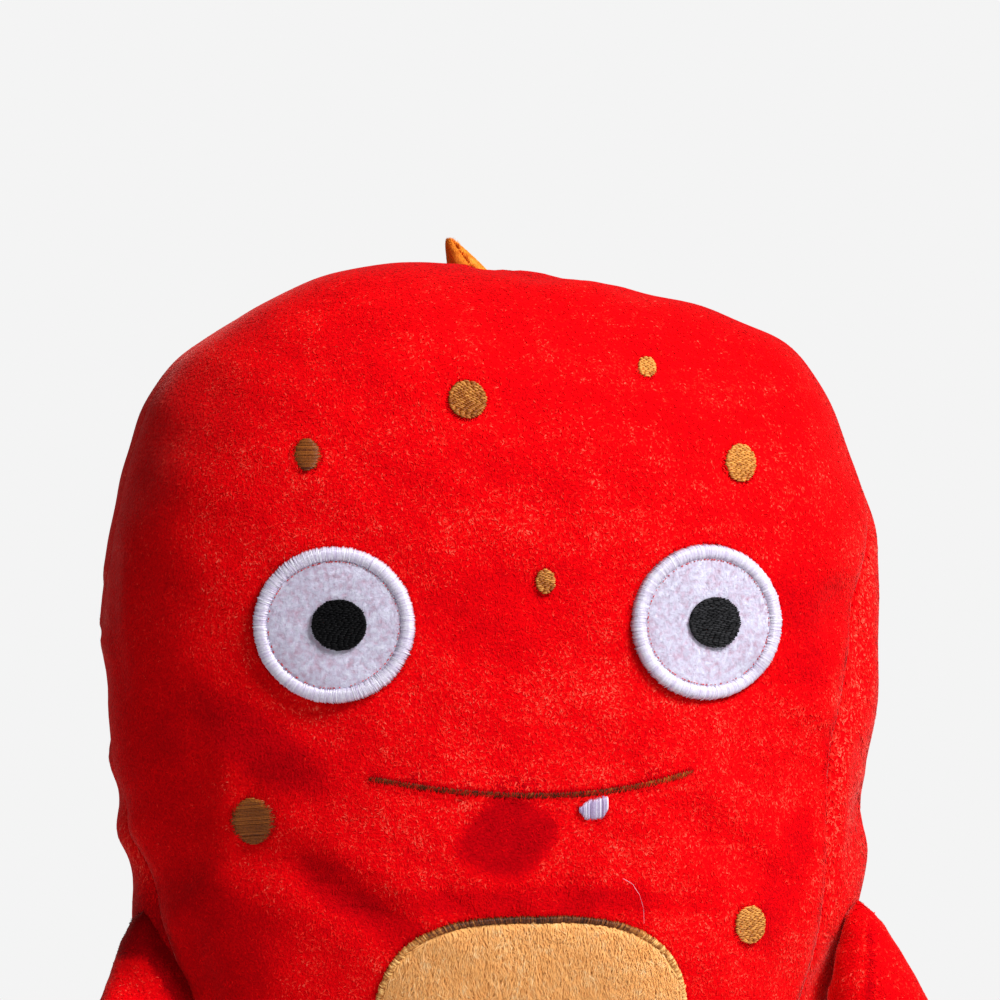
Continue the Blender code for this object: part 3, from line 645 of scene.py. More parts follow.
# %% [markdown]
# ## Finishes
# Every finish here is cloth or thread.  Each gets its colour from a run of stops, read by a
# value named "shade" that is stored on the piece, dark at the root of a fibre and pale at its
# tip, with a fine grain added.  The same value carries the painted shade, painted sheen and
# painted highlights set out below.  Painted pictures could do this too, but a stored value stays
# sharp at any distance and costs nothing.

# %% Make the materials
def cloth_material(name, stops, roughness, sheen, tint, grain_size, grain_share, relief=0.0, gloss=0.0):
    """Fabric whose colour runs through the stops by the piece's own shade."""
    material = bpy.data.materials.new(name)
    material.use_nodes = True
    nodes = material.node_tree.nodes
    links = material.node_tree.links
    shader = nodes["Principled BSDF"]
    shader.inputs["Roughness"].default_value = roughness
    shader.inputs["Specular IOR Level"].default_value = gloss
    shader.inputs["Sheen Weight"].default_value = sheen
    shader.inputs["Sheen Roughness"].default_value = 0.3
    shader.inputs["Sheen Tint"].default_value = (*tint, 1.0)
    stored = nodes.new("ShaderNodeAttribute")
    stored.attribute_name = "shade"
    place = nodes.new("ShaderNodeTexCoord")
    grain = nodes.new("ShaderNodeTexNoise")
    grain.inputs["Scale"].default_value = 1.0 / grain_size
    grain.inputs["Detail"].default_value = 3.0
    spread = nodes.new("ShaderNodeMapRange")
    ranges = (("From Min", 0.25), ("From Max", 0.75), ("To Min", -grain_share), ("To Max", grain_share))
    for socket, value in ranges:
        spread.inputs[socket].default_value = value
    total = nodes.new("ShaderNodeMath")
    total.operation = "ADD"
    ramp = nodes.new("ShaderNodeValToRGB")
    ramp.color_ramp.elements.remove(ramp.color_ramp.elements[1])
    for index, (position, colour) in enumerate(stops):
        elements = ramp.color_ramp.elements
        element = elements[0] if index == 0 else elements.new(position)
        element.position = position
        element.color = (*colour, 1.0)
    links.new(place.outputs["Object"], grain.inputs["Vector"])
    links.new(grain.outputs["Fac"], spread.inputs["Value"])
    links.new(stored.outputs["Fac"], total.inputs[0])
    links.new(spread.outputs["Result"], total.inputs[1])
    links.new(total.outputs["Value"], ramp.inputs["Fac"])
    links.new(ramp.outputs["Color"], shader.inputs["Base Color"])
    if relief > 0.0:
        bump = nodes.new("ShaderNodeBump")
        bump.inputs["Strength"].default_value = 0.8
        bump.inputs["Distance"].default_value = relief
        links.new(grain.outputs["Fac"], bump.inputs["Height"])
        links.new(bump.outputs["Normal"], shader.inputs["Normal"])
    return material


RED_STOPS = (
    (0.0, (0.24, 0.0005, 0.0026)),
    (0.35, (0.52, 0.0009, 0.0040)),
    (0.66, (0.86, 0.0018, 0.0040)),
    (0.82, (0.93, 0.024, 0.016)),
    (1.0, (1.0, 0.15, 0.095)),
)
TAN_STOPS = (
    (0.0, (0.56, 0.21, 0.045)),
    (0.4, (0.90, 0.40, 0.115)),
    (0.75, (1.0, 0.52, 0.18)),
    (1.0, (1.0, 0.70, 0.36)),
)
ORANGE_STOPS = (
    (0.0, (0.30, 0.07, 0.01)),
    (0.45, (0.72, 0.20, 0.02)),
    (0.8, (0.93, 0.34, 0.04)),
    (1.0, (1.0, 0.55, 0.20)),
)
FELT_STOPS = (
    (0.0, (0.52, 0.26, 0.36)),
    (0.38, (0.63, 0.50, 0.63)),
    (0.62, (0.68, 0.65, 0.79)),
    (1.0, (0.85, 0.85, 0.95)),
)
WHITE_STOPS = (
    (0.0, (0.30, 0.20, 0.38)),
    (0.4, (0.54, 0.46, 0.66)),
    (0.7, (0.76, 0.74, 0.84)),
    (1.0, (0.92, 0.91, 0.95)),
)
BLACK_STOPS = (
    (0.0, (0.0015, 0.0015, 0.002)),
    (0.6, (0.007, 0.007, 0.008)),
    (1.0, (0.030, 0.030, 0.033)),
)
BROWN_STOPS = (
    (0.0, (0.040, 0.006, 0.001)),
    (0.5, (0.17, 0.028, 0.004)),
    (1.0, (0.46, 0.14, 0.018)),
)
GOLD_STOPS = (
    (0.0, (0.085, 0.013, 0.0015)),
    (0.5, (0.35, 0.10, 0.012)),
    (1.0, (0.80, 0.37, 0.075)),
)
BORDER_STOPS = (
    (0.0, (0.030, 0.007, 0.002)),
    (0.4, (0.16, 0.042, 0.010)),
    (0.75, (0.52, 0.20, 0.040)),
    (1.0, (0.95, 0.56, 0.19)),
)
PINK = (1.0, 0.34, 0.30)
CREAM = (1.0, 0.85, 0.65)
PALE = (1.0, 1.0, 1.0)

red_cloth = cloth_material("red_cloth", RED_STOPS, 0.9, 0.35, PINK, 0.45 * MM, 0.16, 0.3 * MM)
red_pile = cloth_material("red_pile", RED_STOPS, 0.9, 1.0, PINK, 0.6 * MM, 0.08)
tan_cloth = cloth_material("tan_cloth", TAN_STOPS, 0.9, 0.1, CREAM, 0.8 * MM, 0.15, 0.5 * MM)
tan_pile = cloth_material("tan_pile", TAN_STOPS, 0.9, 0.15, CREAM, 1.6 * MM, 0.16)
orange_cloth = cloth_material("orange_cloth", ORANGE_STOPS, 0.9, 0.1, CREAM, 0.7 * MM, 0.12, 0.4 * MM)
orange_pile = cloth_material("orange_pile", ORANGE_STOPS, 0.9, 0.15, CREAM, 1.1 * MM, 0.10)
white_felt = cloth_material("white_felt", FELT_STOPS, 0.95, 0.0, PALE, 1.0 * MM, 0.26, 0.25 * MM)
felt_fuzz = cloth_material("felt_fuzz", FELT_STOPS, 0.95, 0.0, PALE, 1.0 * MM, 0.32)
white_thread = cloth_material("white_thread", WHITE_STOPS, 0.33, 0.0, PALE, 0.3 * MM, 0.10, 0.04 * MM, 0.65)
black_thread = cloth_material("black_thread", BLACK_STOPS, 0.55, 0.0, PALE, 0.3 * MM, 0.20, 0.06 * MM, 0.10)
brown_thread = cloth_material("brown_thread", BROWN_STOPS, 0.5, 0.0, PALE, 0.5 * MM, 0.30, 0.06 * MM, 0.12)
gold_thread = cloth_material("gold_thread", GOLD_STOPS, 0.42, 0.0, PALE, 0.3 * MM, 0.15, 0.06 * MM, 0.25)
border_thread = cloth_material(
    "border_thread", BORDER_STOPS, 0.42, 0.0, PALE, 0.4 * MM, 0.22, 0.05 * MM, 0.25
)
lint_fibre = cloth_material("lint_fibre", FELT_STOPS, 0.6, 0.0, PALE, 0.4 * MM, 0.10, 0.0, 0.3)
print("finishes:", len(bpy.data.materials))

# %% [markdown]
# ## How pile is sown
# Pile cloth is thousands of short tufts that stand out of a backing and lean the way they were
# brushed.  Particle hair could show it, but it isn't a mesh.  Here each tuft is one slim
# triangle.  First come the places where the tufts are rooted, spread evenly over the cloth, and
# smooth random waves that make neighbours lean and shade alike, as clumps do.

# %% Find places for tufts
def sow_places(ground, count, seed):
    """Evenly spread random places on a mesh, with the smooth normal at each."""
    rng = np.random.default_rng(seed)
    mesh = ground.data
    mesh.calc_loop_triangles()
    corners = np.empty(len(mesh.loop_triangles) * 3, np.int32)
    mesh.loop_triangles.foreach_get("vertices", corners)
    corners = corners.reshape(-1, 3)
    points = points_of(mesh)
    normals = normals_of(mesh)
    first, second, third = (points[corners[:, index]] for index in range(3))
    areas = np.linalg.norm(np.cross(second - first, third - first), axis=1) / 2.0
    ends = np.cumsum(areas)
    spots = (np.arange(count) + rng.random(count)) / count * ends[-1]
    chosen = corners[np.minimum(np.searchsorted(ends, spots), len(ends) - 1)]
    root = np.sqrt(rng.random(count))
    other = rng.random(count)
    weights = np.stack([1.0 - root, root * (1.0 - other), root * other], axis=1)[:, :, None]
    return (points[chosen] * weights).sum(1), unit((normals[chosen] * weights).sum(1))


def clump_waves(places, size, seed):
    """Smooth random waves between -1 and 1 over the places, about one clump wide."""
    rng = np.random.default_rng(seed)
    total = np.zeros(len(places))
    for _ in range(6):
        direction = unit(rng.normal(size=3))
        wave = places @ direction * 2.0 * math.pi / (size * rng.uniform(0.7, 1.5))
        total += np.sin(wave + rng.uniform(0.0, 2.0 * math.pi))
    return total / 3.0


print("tufts are sown by the area of each face")

# %% [markdown]
# ## From places to tufts
# All tufts of a cloth are one mesh.  They could be made by an operator one at a time, which would
# take hours, so the mesh is filled from arrays.  Each tuft has a triangle of its own in a map
# named OFBake.

# %% Make a mesh of tufts
def store_values(mesh, values):
    """Writes the shade that the finishes read, one value for each point."""
    stored = mesh.attributes.new("shade", "FLOAT", "POINT")
    stored.data.foreach_set("value", np.clip(values, 0.0, 1.0).astype(np.float32).ravel())


def bake_cells(count):
    """A small triangle of its own in the unit square for each tuft."""
    across = int(math.ceil(math.sqrt(count)))
    index = np.arange(count)
    cell = np.stack([index % across, index // across], axis=1)[:, None, :]
    inside = np.array([[0.2, 0.2], [0.8, 0.2], [0.5, 0.8]])[None, :, :]
    return (cell + inside) / across


def tuft_mesh(name, corners, shades, material):
    """Mesh of loose triangles, with a shade at each corner."""
    count = len(corners)
    mesh = bpy.data.meshes.new(name)
    mesh.vertices.add(count * 3)
    mesh.vertices.foreach_set("co", corners.ravel())
    mesh.loops.add(count * 3)
    mesh.loops.foreach_set("vertex_index", np.arange(count * 3, dtype=np.int32))
    mesh.polygons.add(count)
    mesh.polygons.foreach_set("loop_start", np.arange(0, count * 3, 3, dtype=np.int32))
    mesh.update(calc_edges=True)
    store_values(mesh, shades)
    cells = bake_cells(count).astype(np.float32)
    mesh.uv_layers.new(name="OFBake").data.foreach_set("uv", cells.ravel())
    mesh.materials.append(material)
    return link_piece(name, mesh)


print("a tuft is one triangle with a shade at each corner")

# %% [markdown]
# ## How a tuft lies
# A tuft is tilted along the nap, turned a little from it, and a bit longer or shorter than its
# neighbours.  Its root is darker than its tip, and a share of the tips is painted pale, a painted
# highlight where the fibre ends catch the light.  At the outline of the toy the tufts lie flatter,
# or their dark undersides would show there as specks.

# %% Sow tufts on a cloth
NAP = np.array([0.0, -0.35, -1.0])
ROOT_SINK = 0.05 * MM
RISE_SPREAD = 3.0
TWIST = 0.08
ROOT_TONE = 0.57
TIP_TONE = 0.66
PALEST_PAINTED_GLINT = 0.27
SMOOTH_SHARE = 0.92


def sow_pile(
    name, ground, material, count, length, width, tilt=9.0, spread=75.0, seed=1,
    keep=None, shading=None, clump=3.0 * MM, nap=NAP, pale=0.3, stretch=None,
):
    """Tufts on a cloth; shading darkens places, painted shade included, pale is the share of tips painted
    pale as glints, stretch lengthens.
    """
    rng = np.random.default_rng(seed)
    places, normals = sow_places(ground, count, seed)
    if keep is not None:
        kept = keep(places)
        places = places[kept]
        normals = normals[kept]
    count = len(places)
    lie = nap(places) if callable(nap) else np.broadcast_to(nap, places.shape)
    down = unit(lie - normals * (normals * lie).sum(1)[:, None])
    side = np.cross(normals, down)
    alike = clump_waves(places, clump, seed)
    turn = np.radians(spread) * (rng.normal(size=count) * 0.6 + alike * 0.5)
    lean = down * np.cos(turn)[:, None] + side * np.sin(turn)[:, None]
    grazing = 1.0 - smooth_step(0.05, 0.45, np.abs(normals[:, 1]))
    rise = np.radians(tilt + rng.normal(size=count) * RISE_SPREAD) * (1.0 - 0.75 * grazing)
    blade = lean * np.cos(rise)[:, None] + normals * np.sin(rise)[:, None]
    broad = unit(np.cross(blade, normals))
    twist = rng.normal(size=count) * TWIST
    broad = unit(broad + np.cross(blade, broad) * twist[:, None])
    reach = length * rng.uniform(0.72, 1.22, count)
    if stretch is not None:
        reach = reach * stretch(places)
    half = width * rng.uniform(0.35, 0.65, count)
    root = places - normals * ROOT_SINK
    to_side = broad * half[:, None]
    corners = np.stack([root - to_side, root + to_side, root + blade * reach[:, None]], axis=1)
    tone = rng.normal(size=count) * 0.03 + clump_waves(places, clump, seed + 9) * 0.045
    wide_waves = clump_waves(places, 2.2 * clump, seed + 5) * 0.04
    tone += wide_waves + clump_waves(places, 0.45 * clump, seed + 3) * 0.03
    if shading is not None:
        tone = tone + shading(places)
    share = pale(places) if callable(pale) else pale
    # A share of the tips is painted pale: a painted highlight where fibre ends catch the light.
    painted_tip_glint = (rng.random(count) < share) * rng.uniform(0.0, PALEST_PAINTED_GLINT, count)
    root_shade = tone + ROOT_TONE + 0.4 * painted_tip_glint
    shades = np.stack([root_shade, root_shade, tone + TIP_TONE + painted_tip_glint], axis=1)
    facing = unit(np.cross(corners[:, 1] - corners[:, 0], corners[:, 2] - corners[:, 0]))
    wrong = (facing * normals).sum(1) < 0.0
    corners[wrong] = corners[wrong][:, [1, 0, 2]]
    facing[wrong] *= -1.0
    piece = tuft_mesh(name, corners, shades, material)
    smooth = unit(normals * SMOOTH_SHARE + facing * (1.0 - SMOOTH_SHARE))
    piece.data.normals_split_custom_set_from_vertices(np.repeat(smooth, 3, axis=0).tolist())
    print(name, count, "tufts")
    return piece


# %% [markdown]
# ## A plan of the face
# Before the pile is sown, it has to be known where it stays out: under the eyes, the mouth, the
# tooth, the spots and the tummy patch.  Their places are listed once here and used by the pile
# and by the embroidery, so the two can't drift apart.

# %% Places on the face
EYES = {"left": (-31.6 * MM, 140.1 * MM), "right": (33.4 * MM, 140.4 * MM)}
EYE_HALF = (13.8 * MM, 13.6 * MM)
RING_WIDTH = 2.7 * MM
MOUTH_LOW = (4.7 * MM, 110.6 * MM)
MOUTH_SPANS = (30.2 * MM, 26.1 * MM)
MOUTH_RISES = (3.0 * MM, 3.9 * MM)
TOOTH_CENTRE = (13.15 * MM, 108.3 * MM)
TOOTH_HALF = (2.5 * MM, 2.0 * MM)
SPOTS = {
    "spot_crown": ((-8.2 * MM, 179.0 * MM), (3.3 * MM, 3.3 * MM)),
    "spot_brow_right": ((24.1 * MM, 184.8 * MM), (1.6 * MM, 1.8 * MM)),
    "spot_temple_right": ((40.2 * MM, 168.1 * MM), (2.8 * MM, 3.3 * MM)),
    "spot_temple_left": ((-36.0 * MM, 169.5 * MM), (2.4 * MM, 2.8 * MM)),
    "spot_nose": ((4.7 * MM, 147.6 * MM), (1.7 * MM, 2.1 * MM)),
    "spot_cheek_left": ((-45.3 * MM, 106.1 * MM), (3.8 * MM, 4.0 * MM)),
    "spot_cheek_right": ((41.8 * MM, 87.4 * MM), (2.8 * MM, 3.3 * MM)),
}
TUMMY_CENTRE = (3.0 * MM, 66.8 * MM)
TUMMY_HALF = (27.8 * MM, 23.0 * MM)
TUMMY_SQUARENESS = 3.0
MOUTH_CLEAR = 0.46 * MM
MOUTH_FOOT = 0.8 * MM


def mouth_height(x):
    """Height of the mouth line at x."""
    off = x - MOUTH_LOW[0]
    span = np.where(off < 0.0, MOUTH_SPANS[0], MOUTH_SPANS[1])
    rise = np.where(off < 0.0, MOUTH_RISES[0], MOUTH_RISES[1])
    return MOUTH_LOW[1] + rise * (off / span) ** 2


def on_mouth(x):
    """True between the two ends of the mouth line."""
    return (x > MOUTH_LOW[0] - MOUTH_SPANS[0]) & (x < MOUTH_LOW[0] + MOUTH_SPANS[1])


def off_oval(x, z, centre, half, squareness=2.0):
    """0 at the centre of an oval and 1 on its edge."""
    across = np.abs((x - centre[0]) / half[0]) ** squareness
    up = np.abs((z - centre[1]) / half[1]) ** squareness
    return (across + up) ** (1.0 / squareness)


def bare_front(places):
    """True where pile stays, outside all that is sewn on the front."""
    x = places[:, 0]
    z = places[:, 2]
    keep = np.ones(len(places), bool)
    for centre in EYES.values():
        keep &= off_oval(x, z, centre, EYE_HALF) > 0.97
    for centre, half in SPOTS.values():
        keep &= off_oval(x, z, centre, half) > 0.95
    keep &= off_oval(x, z, TUMMY_CENTRE, TUMMY_HALF, TUMMY_SQUARENESS) > 0.98
    keep &= off_oval(x, z, TOOTH_CENTRE, TOOTH_HALF) > 0.92
    keep &= ~(on_mouth(x) & (np.abs(z - mouth_height(x)) < MOUTH_CLEAR))
    return keep | (places[:, 1] > 0.0)


print(len(EYES), "eyes,", len(SPOTS), "spots, one mouth, one tooth and one tummy patch")

# %% [markdown]
# ## Pile in the seams
# Tufts caught in a seam stick up longer and cover its groove.  The groove gets a little painted
# shade and the roll of cloth beside it a painted highlight.  A dark line could be painted along
# the seam, but it would look drawn.  The distance from the sewn edge is measured and used for both.

# %% Measure the way to a seam
def seam_distance(panel):
    """A function that gives how far places are from the panel's sewn edge."""
    mesh = panel.data
    uses = np.zeros(len(mesh.edges), int)
    edges = np.empty(len(mesh.loops), np.int32)
    mesh.loops.foreach_get("edge_index", edges)
    np.add.at(uses, edges, 1)
    points = points_of(mesh)
    rim = [mesh.edges[index].vertices for index in np.flatnonzero(uses == 1)]
    steps = np.linspace(0.0, 1.0, 6, endpoint=False)
    rim_tree = find_tree([points[a] * (1.0 - step) + points[b] * step for a, b in rim for step in steps])
    last = {"places": None}

    def distance(places):
        if last["places"] is not places:
            last["distance"] = np.array([rim_tree.find(place)[2] for place in places])
            last["places"] = places
        return last["distance"]

    return distance


def seam_painted_light(distance):
    """Painted shade in the groove of a seam, and a painted highlight on the roll beside it."""
    groove = np.exp(-((distance / (1.1 * MM)) ** 2))
    roll = np.exp(-(((distance - 2.8 * MM) / (1.3 * MM)) ** 2))
    return 0.03 * roll - 0.05 * groove


def seam_stretch(distance):
    """Tufts caught in the seam stick up longer and cover it."""
    return 1.0 + 0.5 * np.exp(-((distance / (1.3 * MM)) ** 2))


front_seam_distance = seam_distance(front_cloth)
print("the way to the front's seam can be measured")

# %% [markdown]
# ## Pile of the front
# The patch under the mouth is brushed sideways and looks darker, because its tufts show their
# sides and not their tips.  The other dark places are painted shade, mostly on the shaded left,
# in folds and beside the seams.  They could be painted by hand on the cloth.  Here each is a
# soft oval with a place, a size and how much darker it is, so it can be moved by its numbers.

# %% Sow the front
PILE_LENGTH = 0.85 * MM
PILE_WIDTH = 0.48 * MM
# Painted shade, and first the brushed patch: centre (x, z), half sizes, turn in degrees, squareness,
# softness, how much darker
BRUSHED_AND_PAINTED_SHADE = (
    ((-2.0, 103.3), (8.8, 7.2), 12, 1.5, 0.28, 0.34),
    ((-44.0, 119.5), (13.0, 5.0), -38, 2.0, 0.9, 0.28),
    ((60.5, 114.0), (4.0, 10.0), 0, 2.0, 0.9, 0.14),
    ((53.0, 142.0), (7.0, 13.0), 0, 2.0, 0.9, 0.09),
    ((-2.0, 142.0), (13.0, 8.0), 0, 2.0, 0.9, 0.06),
    ((-58.0, 113.0), (8.0, 17.0), 0, 2.0, 0.9, 0.10),
    ((-52.0, 85.0), (10.0, 13.0), 25, 2.0, 0.9, 0.20),
    ((-31.0, 95.0), (8.0, 3.6), -35, 2.0, 0.8, 0.22),
    ((-20.0, 86.5), (9.0, 3.0), -42, 2.0, 0.8, 0.15),
    ((-64.0, 145.0), (8.0, 36.0), 0, 2.0, 0.9, 0.04),
    ((49.0, 96.0), (4.0, 12.0), -20, 2.0, 0.9, 0.10),
    ((2.0, 92.4), (26.0, 2.6), 0, 2.0, 0.9, 0.14),
)
PAINTED_GLINT_SHARE = 0.72


def darkened_share(places, patch):
    """1 inside a darkened place, painted shade or the brushed patch, and 0 outside it."""
    centre, half, turn, squareness, softness, _ = patch
    cos_turn, sin_turn = math.cos(math.radians(turn)), math.sin(math.radians(turn))
    across = places[:, 0] - centre[0] * MM
    up = places[:, 2] - centre[1] * MM
    turned = (across * cos_turn + up * sin_turn, up * cos_turn - across * sin_turn)
    off = off_oval(turned[0], turned[1], (0.0, 0.0), np.array(half) * MM, squareness)
    return 1.0 - smooth_step(1.0 - softness / 2.0, 1.0 + softness / 2.0, off)


def mouth_shadow(places):
    """The pile just above the mouth line leans into its dent and lies in shade."""
    above = places[:, 2] - mouth_height(places[:, 0])
    off = places[:, 0] - MOUTH_LOW[0]
    ends = smooth_step(-MOUTH_SPANS[0] - 0.5 * MM, -MOUTH_SPANS[0] + 1.0 * MM, off)
    ends = ends * (1.0 - smooth_step(MOUTH_SPANS[1] - 1.0 * MM, MOUTH_SPANS[1] + 0.8 * MM, off))
    return ends * np.exp(-(((above - 0.6 * MM) / (0.45 * MM)) ** 2))


# Tone of the front pile: random clumps, the seams' painted light, painted shade in the dark places and the
# painted shadow above the mouth.
def front_tone_and_painted_shade(places):
    tone = clump_waves(places, 14.0 * MM, 77) * 0.04 + seam_painted_light(front_seam_distance(places))
    for patch in BRUSHED_AND_PAINTED_SHADE:
        tone -= patch[5] * darkened_share(places, patch)
    return tone - 0.42 * mouth_shadow(places)


def front_nap(places):
    """Brushed down, but sideways in the patch under the mouth."""
    sideways = darkened_share(places, BRUSHED_AND_PAINTED_SHADE[0])[:, None]
    return NAP * (1.0 - sideways) + np.array([1.0, -0.35, 0.1]) * sideways


def front_painted_glints(places):
    """Share of tips painted pale, a painted highlight: few on the smooth crown, more on the cheeks, low down
    and on the lit right.
    """
    x = places[:, 0]
    z = places[:, 2]
    low = 1.0 - smooth_step(150.0 * MM, 188.0 * MM, z + 0.2 * x)
    # More painted glints towards the lit right side of the face.
    right = 0.55 + 0.6 * smooth_step(-62.0 * MM, 30.0 * MM, x)
    waves = 1.0 + 0.4 * clump_waves(places, 9.0 * MM, 78) + 0.3 * clump_waves(places, 3.5 * MM, 79)
    for patch in BRUSHED_AND_PAINTED_SHADE:
        waves *= 1.0 - 0.8 * darkened_share(places, patch)
    return np.clip((0.16 + PAINTED_GLINT_SHARE * low * right) * waves, 0.02, 1.0)


sow_pile(
    "front_pile", front_cloth, red_pile, 196000, PILE_LENGTH, PILE_WIDTH,
    seed=11, keep=bare_front, shading=front_tone_and_painted_shade, pale=front_painted_glints, nap=front_nap,
    stretch=lambda places: seam_stretch(front_seam_distance(places)),
)

# %% [markdown]
# ## Pile of the back
# The back panels are sown with fewer and wider tufts, since they are seen less.  Where they wrap
# round to the front they are as bright as the front, with more tips painted pale as a painted
# sheen, and in the fold beside the left arm the pile gets painted shade.

# %% Sow the back
def back_painted_sheen(places):
    """Share of tips painted pale, a painted sheen: more on the strips that wrap round to the front than on
    the back.
    """
    in_front = smooth_step(2.0 * MM, -10.0 * MM, places[:, 1])
    return 0.5 + 0.5 * in_front * smooth_step(88.0 * MM, 100.0 * MM, places[:, 2])


def armpit_painted_shade(places):
    """Painted shade on the pile in the fold between the body and the left arm."""
    x, y, z = places.T
    near = np.where(x < 0.0, 1.0 - smooth_step(86.0 * MM, 99.0 * MM, z), 0.0)
    return -0.42 * near * smooth_step(4.0 * MM, -4.0 * MM, y) * smooth_step(48.0 * MM, 62.0 * MM, z)


# All the back pile is painted 0.07 lighter, a painted sheen, and takes the seams' painted light.
for side, panel, seed in (("left", back_cloth_left, 21), ("right", back_cloth_right, 31)):
    distance = seam_distance(panel)
    sow_pile(
        "back_pile_" + side, panel, red_pile, 90000, PILE_LENGTH, 0.62 * MM,
        seed=seed, shading=lambda places: 0.07 + seam_painted_light(distance(places)) + armpit_painted_shade(places),
        pale=back_painted_sheen, stretch=lambda places: seam_stretch(distance(places)),
    )

# %% [markdown]
# ## Pile that crowds over the edges
# Embroidery sinks into pile, and the fibres beside it bend over its edge.  A second, sparse
# sowing of longer tufts leans towards each sewn thing and softens its outline.  These tufts are
# painted a little darker than the front: painted shade at the sewn edges.

# %% Sow the pile at the edges
EDGE_BAND = 0.75 * MM


def edge_field(places):
    """How far each place is outside the nearest sewn edge, and the way towards it."""
    x = places[:, 0]
    z = places[:, 2]
    nearest = np.full(len(places), 1.0)
    towards = np.zeros_like(places)
    ovals = [(centre, EYE_HALF, 2.0) for centre in EYES.values()]
    ovals += [(centre, half, 2.0) for centre, half in SPOTS.values()]
    ovals += [(TUMMY_CENTRE, TUMMY_HALF, TUMMY_SQUARENESS), (TOOTH_CENTRE, TOOTH_HALF, 2.0)]
    for centre, half, squareness in ovals:
        share = off_oval(x, z, centre, half, squareness)
        to_centre = np.stack([centre[0] - x, np.zeros_like(x), centre[1] - z], axis=1)
        off = np.linalg.norm(to_centre, axis=1) * (1.0 - 1.0 / np.maximum(share, 1e-6))
        closer = (off > -0.1 * MM) & (off < nearest)
        nearest[closer] = off[closer]
        towards[closer] = unit(to_centre[closer])
    above = z - mouth_height(x)
    off = np.abs(above) - np.where(above > 0.0, MOUTH_CLEAR, MOUTH_FOOT)
    closer = on_mouth(x) & (off > -0.1 * MM) & (off < nearest)
    nearest[closer] = off[closer]
    towards[closer, 0] = 0.0
    towards[closer, 2] = -np.sign(above[closer])
    return nearest, towards


# Edge tufts take the front's tone and painted shade, and 0.05 more painted shade at the sewn edges.
sow_pile(
    "edge_pile", front_cloth, red_pile, 520000, 1.15 * MM, 0.24 * MM, tilt=32.0, spread=45.0, seed=13,
    keep=lambda places: (places[:, 1] < 0.0) & (edge_field(places)[0] < EDGE_BAND),
    shading=lambda places: front_tone_and_painted_shade(places) - 0.05, nap=lambda places: edge_field(places)[1], pale=0.35,
)

# %% [markdown]
# ## Thickness of the panels
# The tufts were sown on the outer surface.  Solidify now gives the cloth its thickness inwards,
# so each panel is a closed sheet and its cut edges lie in the seams.  The cloth is as dark as the
# pile on it, painted shade included, because it shows between the tufts.

# %% Thicken the panels
CLOTH_SHADE = 0.55
STUFFED = 0.9


def store_shade(piece, shade, shading=None):
    """The piece's own shade, and where given the one that its pile has."""
    values = np.full(len(piece.data.vertices), shade)
    if shading is not None:
        values = values + shading(points_of(piece.data))
    store_values(piece.data, values)


def thicken(piece, thickness, material, shade, shading=None):
    wall = piece.modifiers.new("cloth", "SOLIDIFY")
    wall.thickness = thickness
    wall.offset = -1.0
    apply_modifiers(piece)
    piece.data.materials.append(material)
    store_shade(piece, shade, shading)


def finish_piece(piece, slot, *nodes, fill=None):
    """Hides the solids that a piece stands for and lets it ride on the body; the finish it is given is not
    used.
    """
    if nodes:
        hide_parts(*nodes)
    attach(piece, "root")


for panel, node, shading in (
    (front_cloth, "front_panel", front_tone_and_painted_shade),
    (back_cloth_left, "back_panel_left", armpit_painted_shade),
    (back_cloth_right, "back_panel_right", None),
):
    thicken(panel, CLOTH_THICKNESS, red_cloth, CLOTH_SHADE, shading)
    finish_piece(panel, "red_pile", node, fill=STUFFED)
for name in ("front_pile", "back_pile_left", "back_pile_right", "edge_pile"):
    finish_piece(bpy.data.objects[name], "red_pile")
print("three panels of cloth", round(1000 * CLOTH_THICKNESS, 1), "mm thick")

# %% [markdown]
# ## Embroidery
# Satin stitch is thread laid side by side, each a low arch from one edge of the shape to the
# other.  A striped texture on a smooth pad is quicker, but its outline stays too clean.  So
# each stitch is a thin tube of its own, worked out here as rings of points along its arch.

# %% Work out the stitches
STITCH_STATIONS = 8
STITCH_SIDES = 6
STITCH_END_SPREAD = 0.07 * MM


def stitch_arrays(starts, ends, arch, radius, lift, seed, wild):
    """Corner points of many stitches that arch over the front cloth; wild ones lie less evenly."""
    rng = np.random.default_rng(seed)
    count = len(starts)
    share = np.linspace(0.0, 1.0, STITCH_STATIONS)[None, :, None]
    flat = starts[:, None, :] * (1.0 - share) + ends[:, None, :] * share
    run = unit(ends - starts)
    across = np.stack([-run[:, 1], run[:, 0]], axis=1)
    sag = rng.normal(size=count) * 0.2 * wild * radius
    flat = flat + (across * sag[:, None])[:, None, :] * np.sin(math.pi * share)
    hump = (1.0 - np.abs(2.0 * share[..., 0] - 1.0) ** 2.6) ** (1.0 / 2.0)
    uneven = rng.normal(size=(count, 1)) * radius * 0.12 * wild
    heights = lift + np.broadcast_to(arch, (count,))[:, None] * hump + uneven
    centre = on_cloth(flat[..., 0], flat[..., 1], heights)
    along = unit(np.gradient(centre, axis=1))
    normal = face_normal(flat[..., 0], flat[..., 1])
    broad = unit(np.cross(along, normal))
    over = unit(np.cross(broad, along))
    thick = radius * (1.0 + rng.uniform(-0.1, 0.1, (count, 1)) * wild) * (0.55 + 0.45 * hump)
    angle = np.arange(STITCH_SIDES) * 2.0 * math.pi / STITCH_SIDES
    round_about = (
        broad[:, :, None, :] * np.cos(angle)[None, None, :, None]
        + over[:, :, None, :] * np.sin(angle)[None, None, :, None]
    )
    points = centre[:, :, None, :] + round_about * thick[:, :, None, None]
    return points, rng


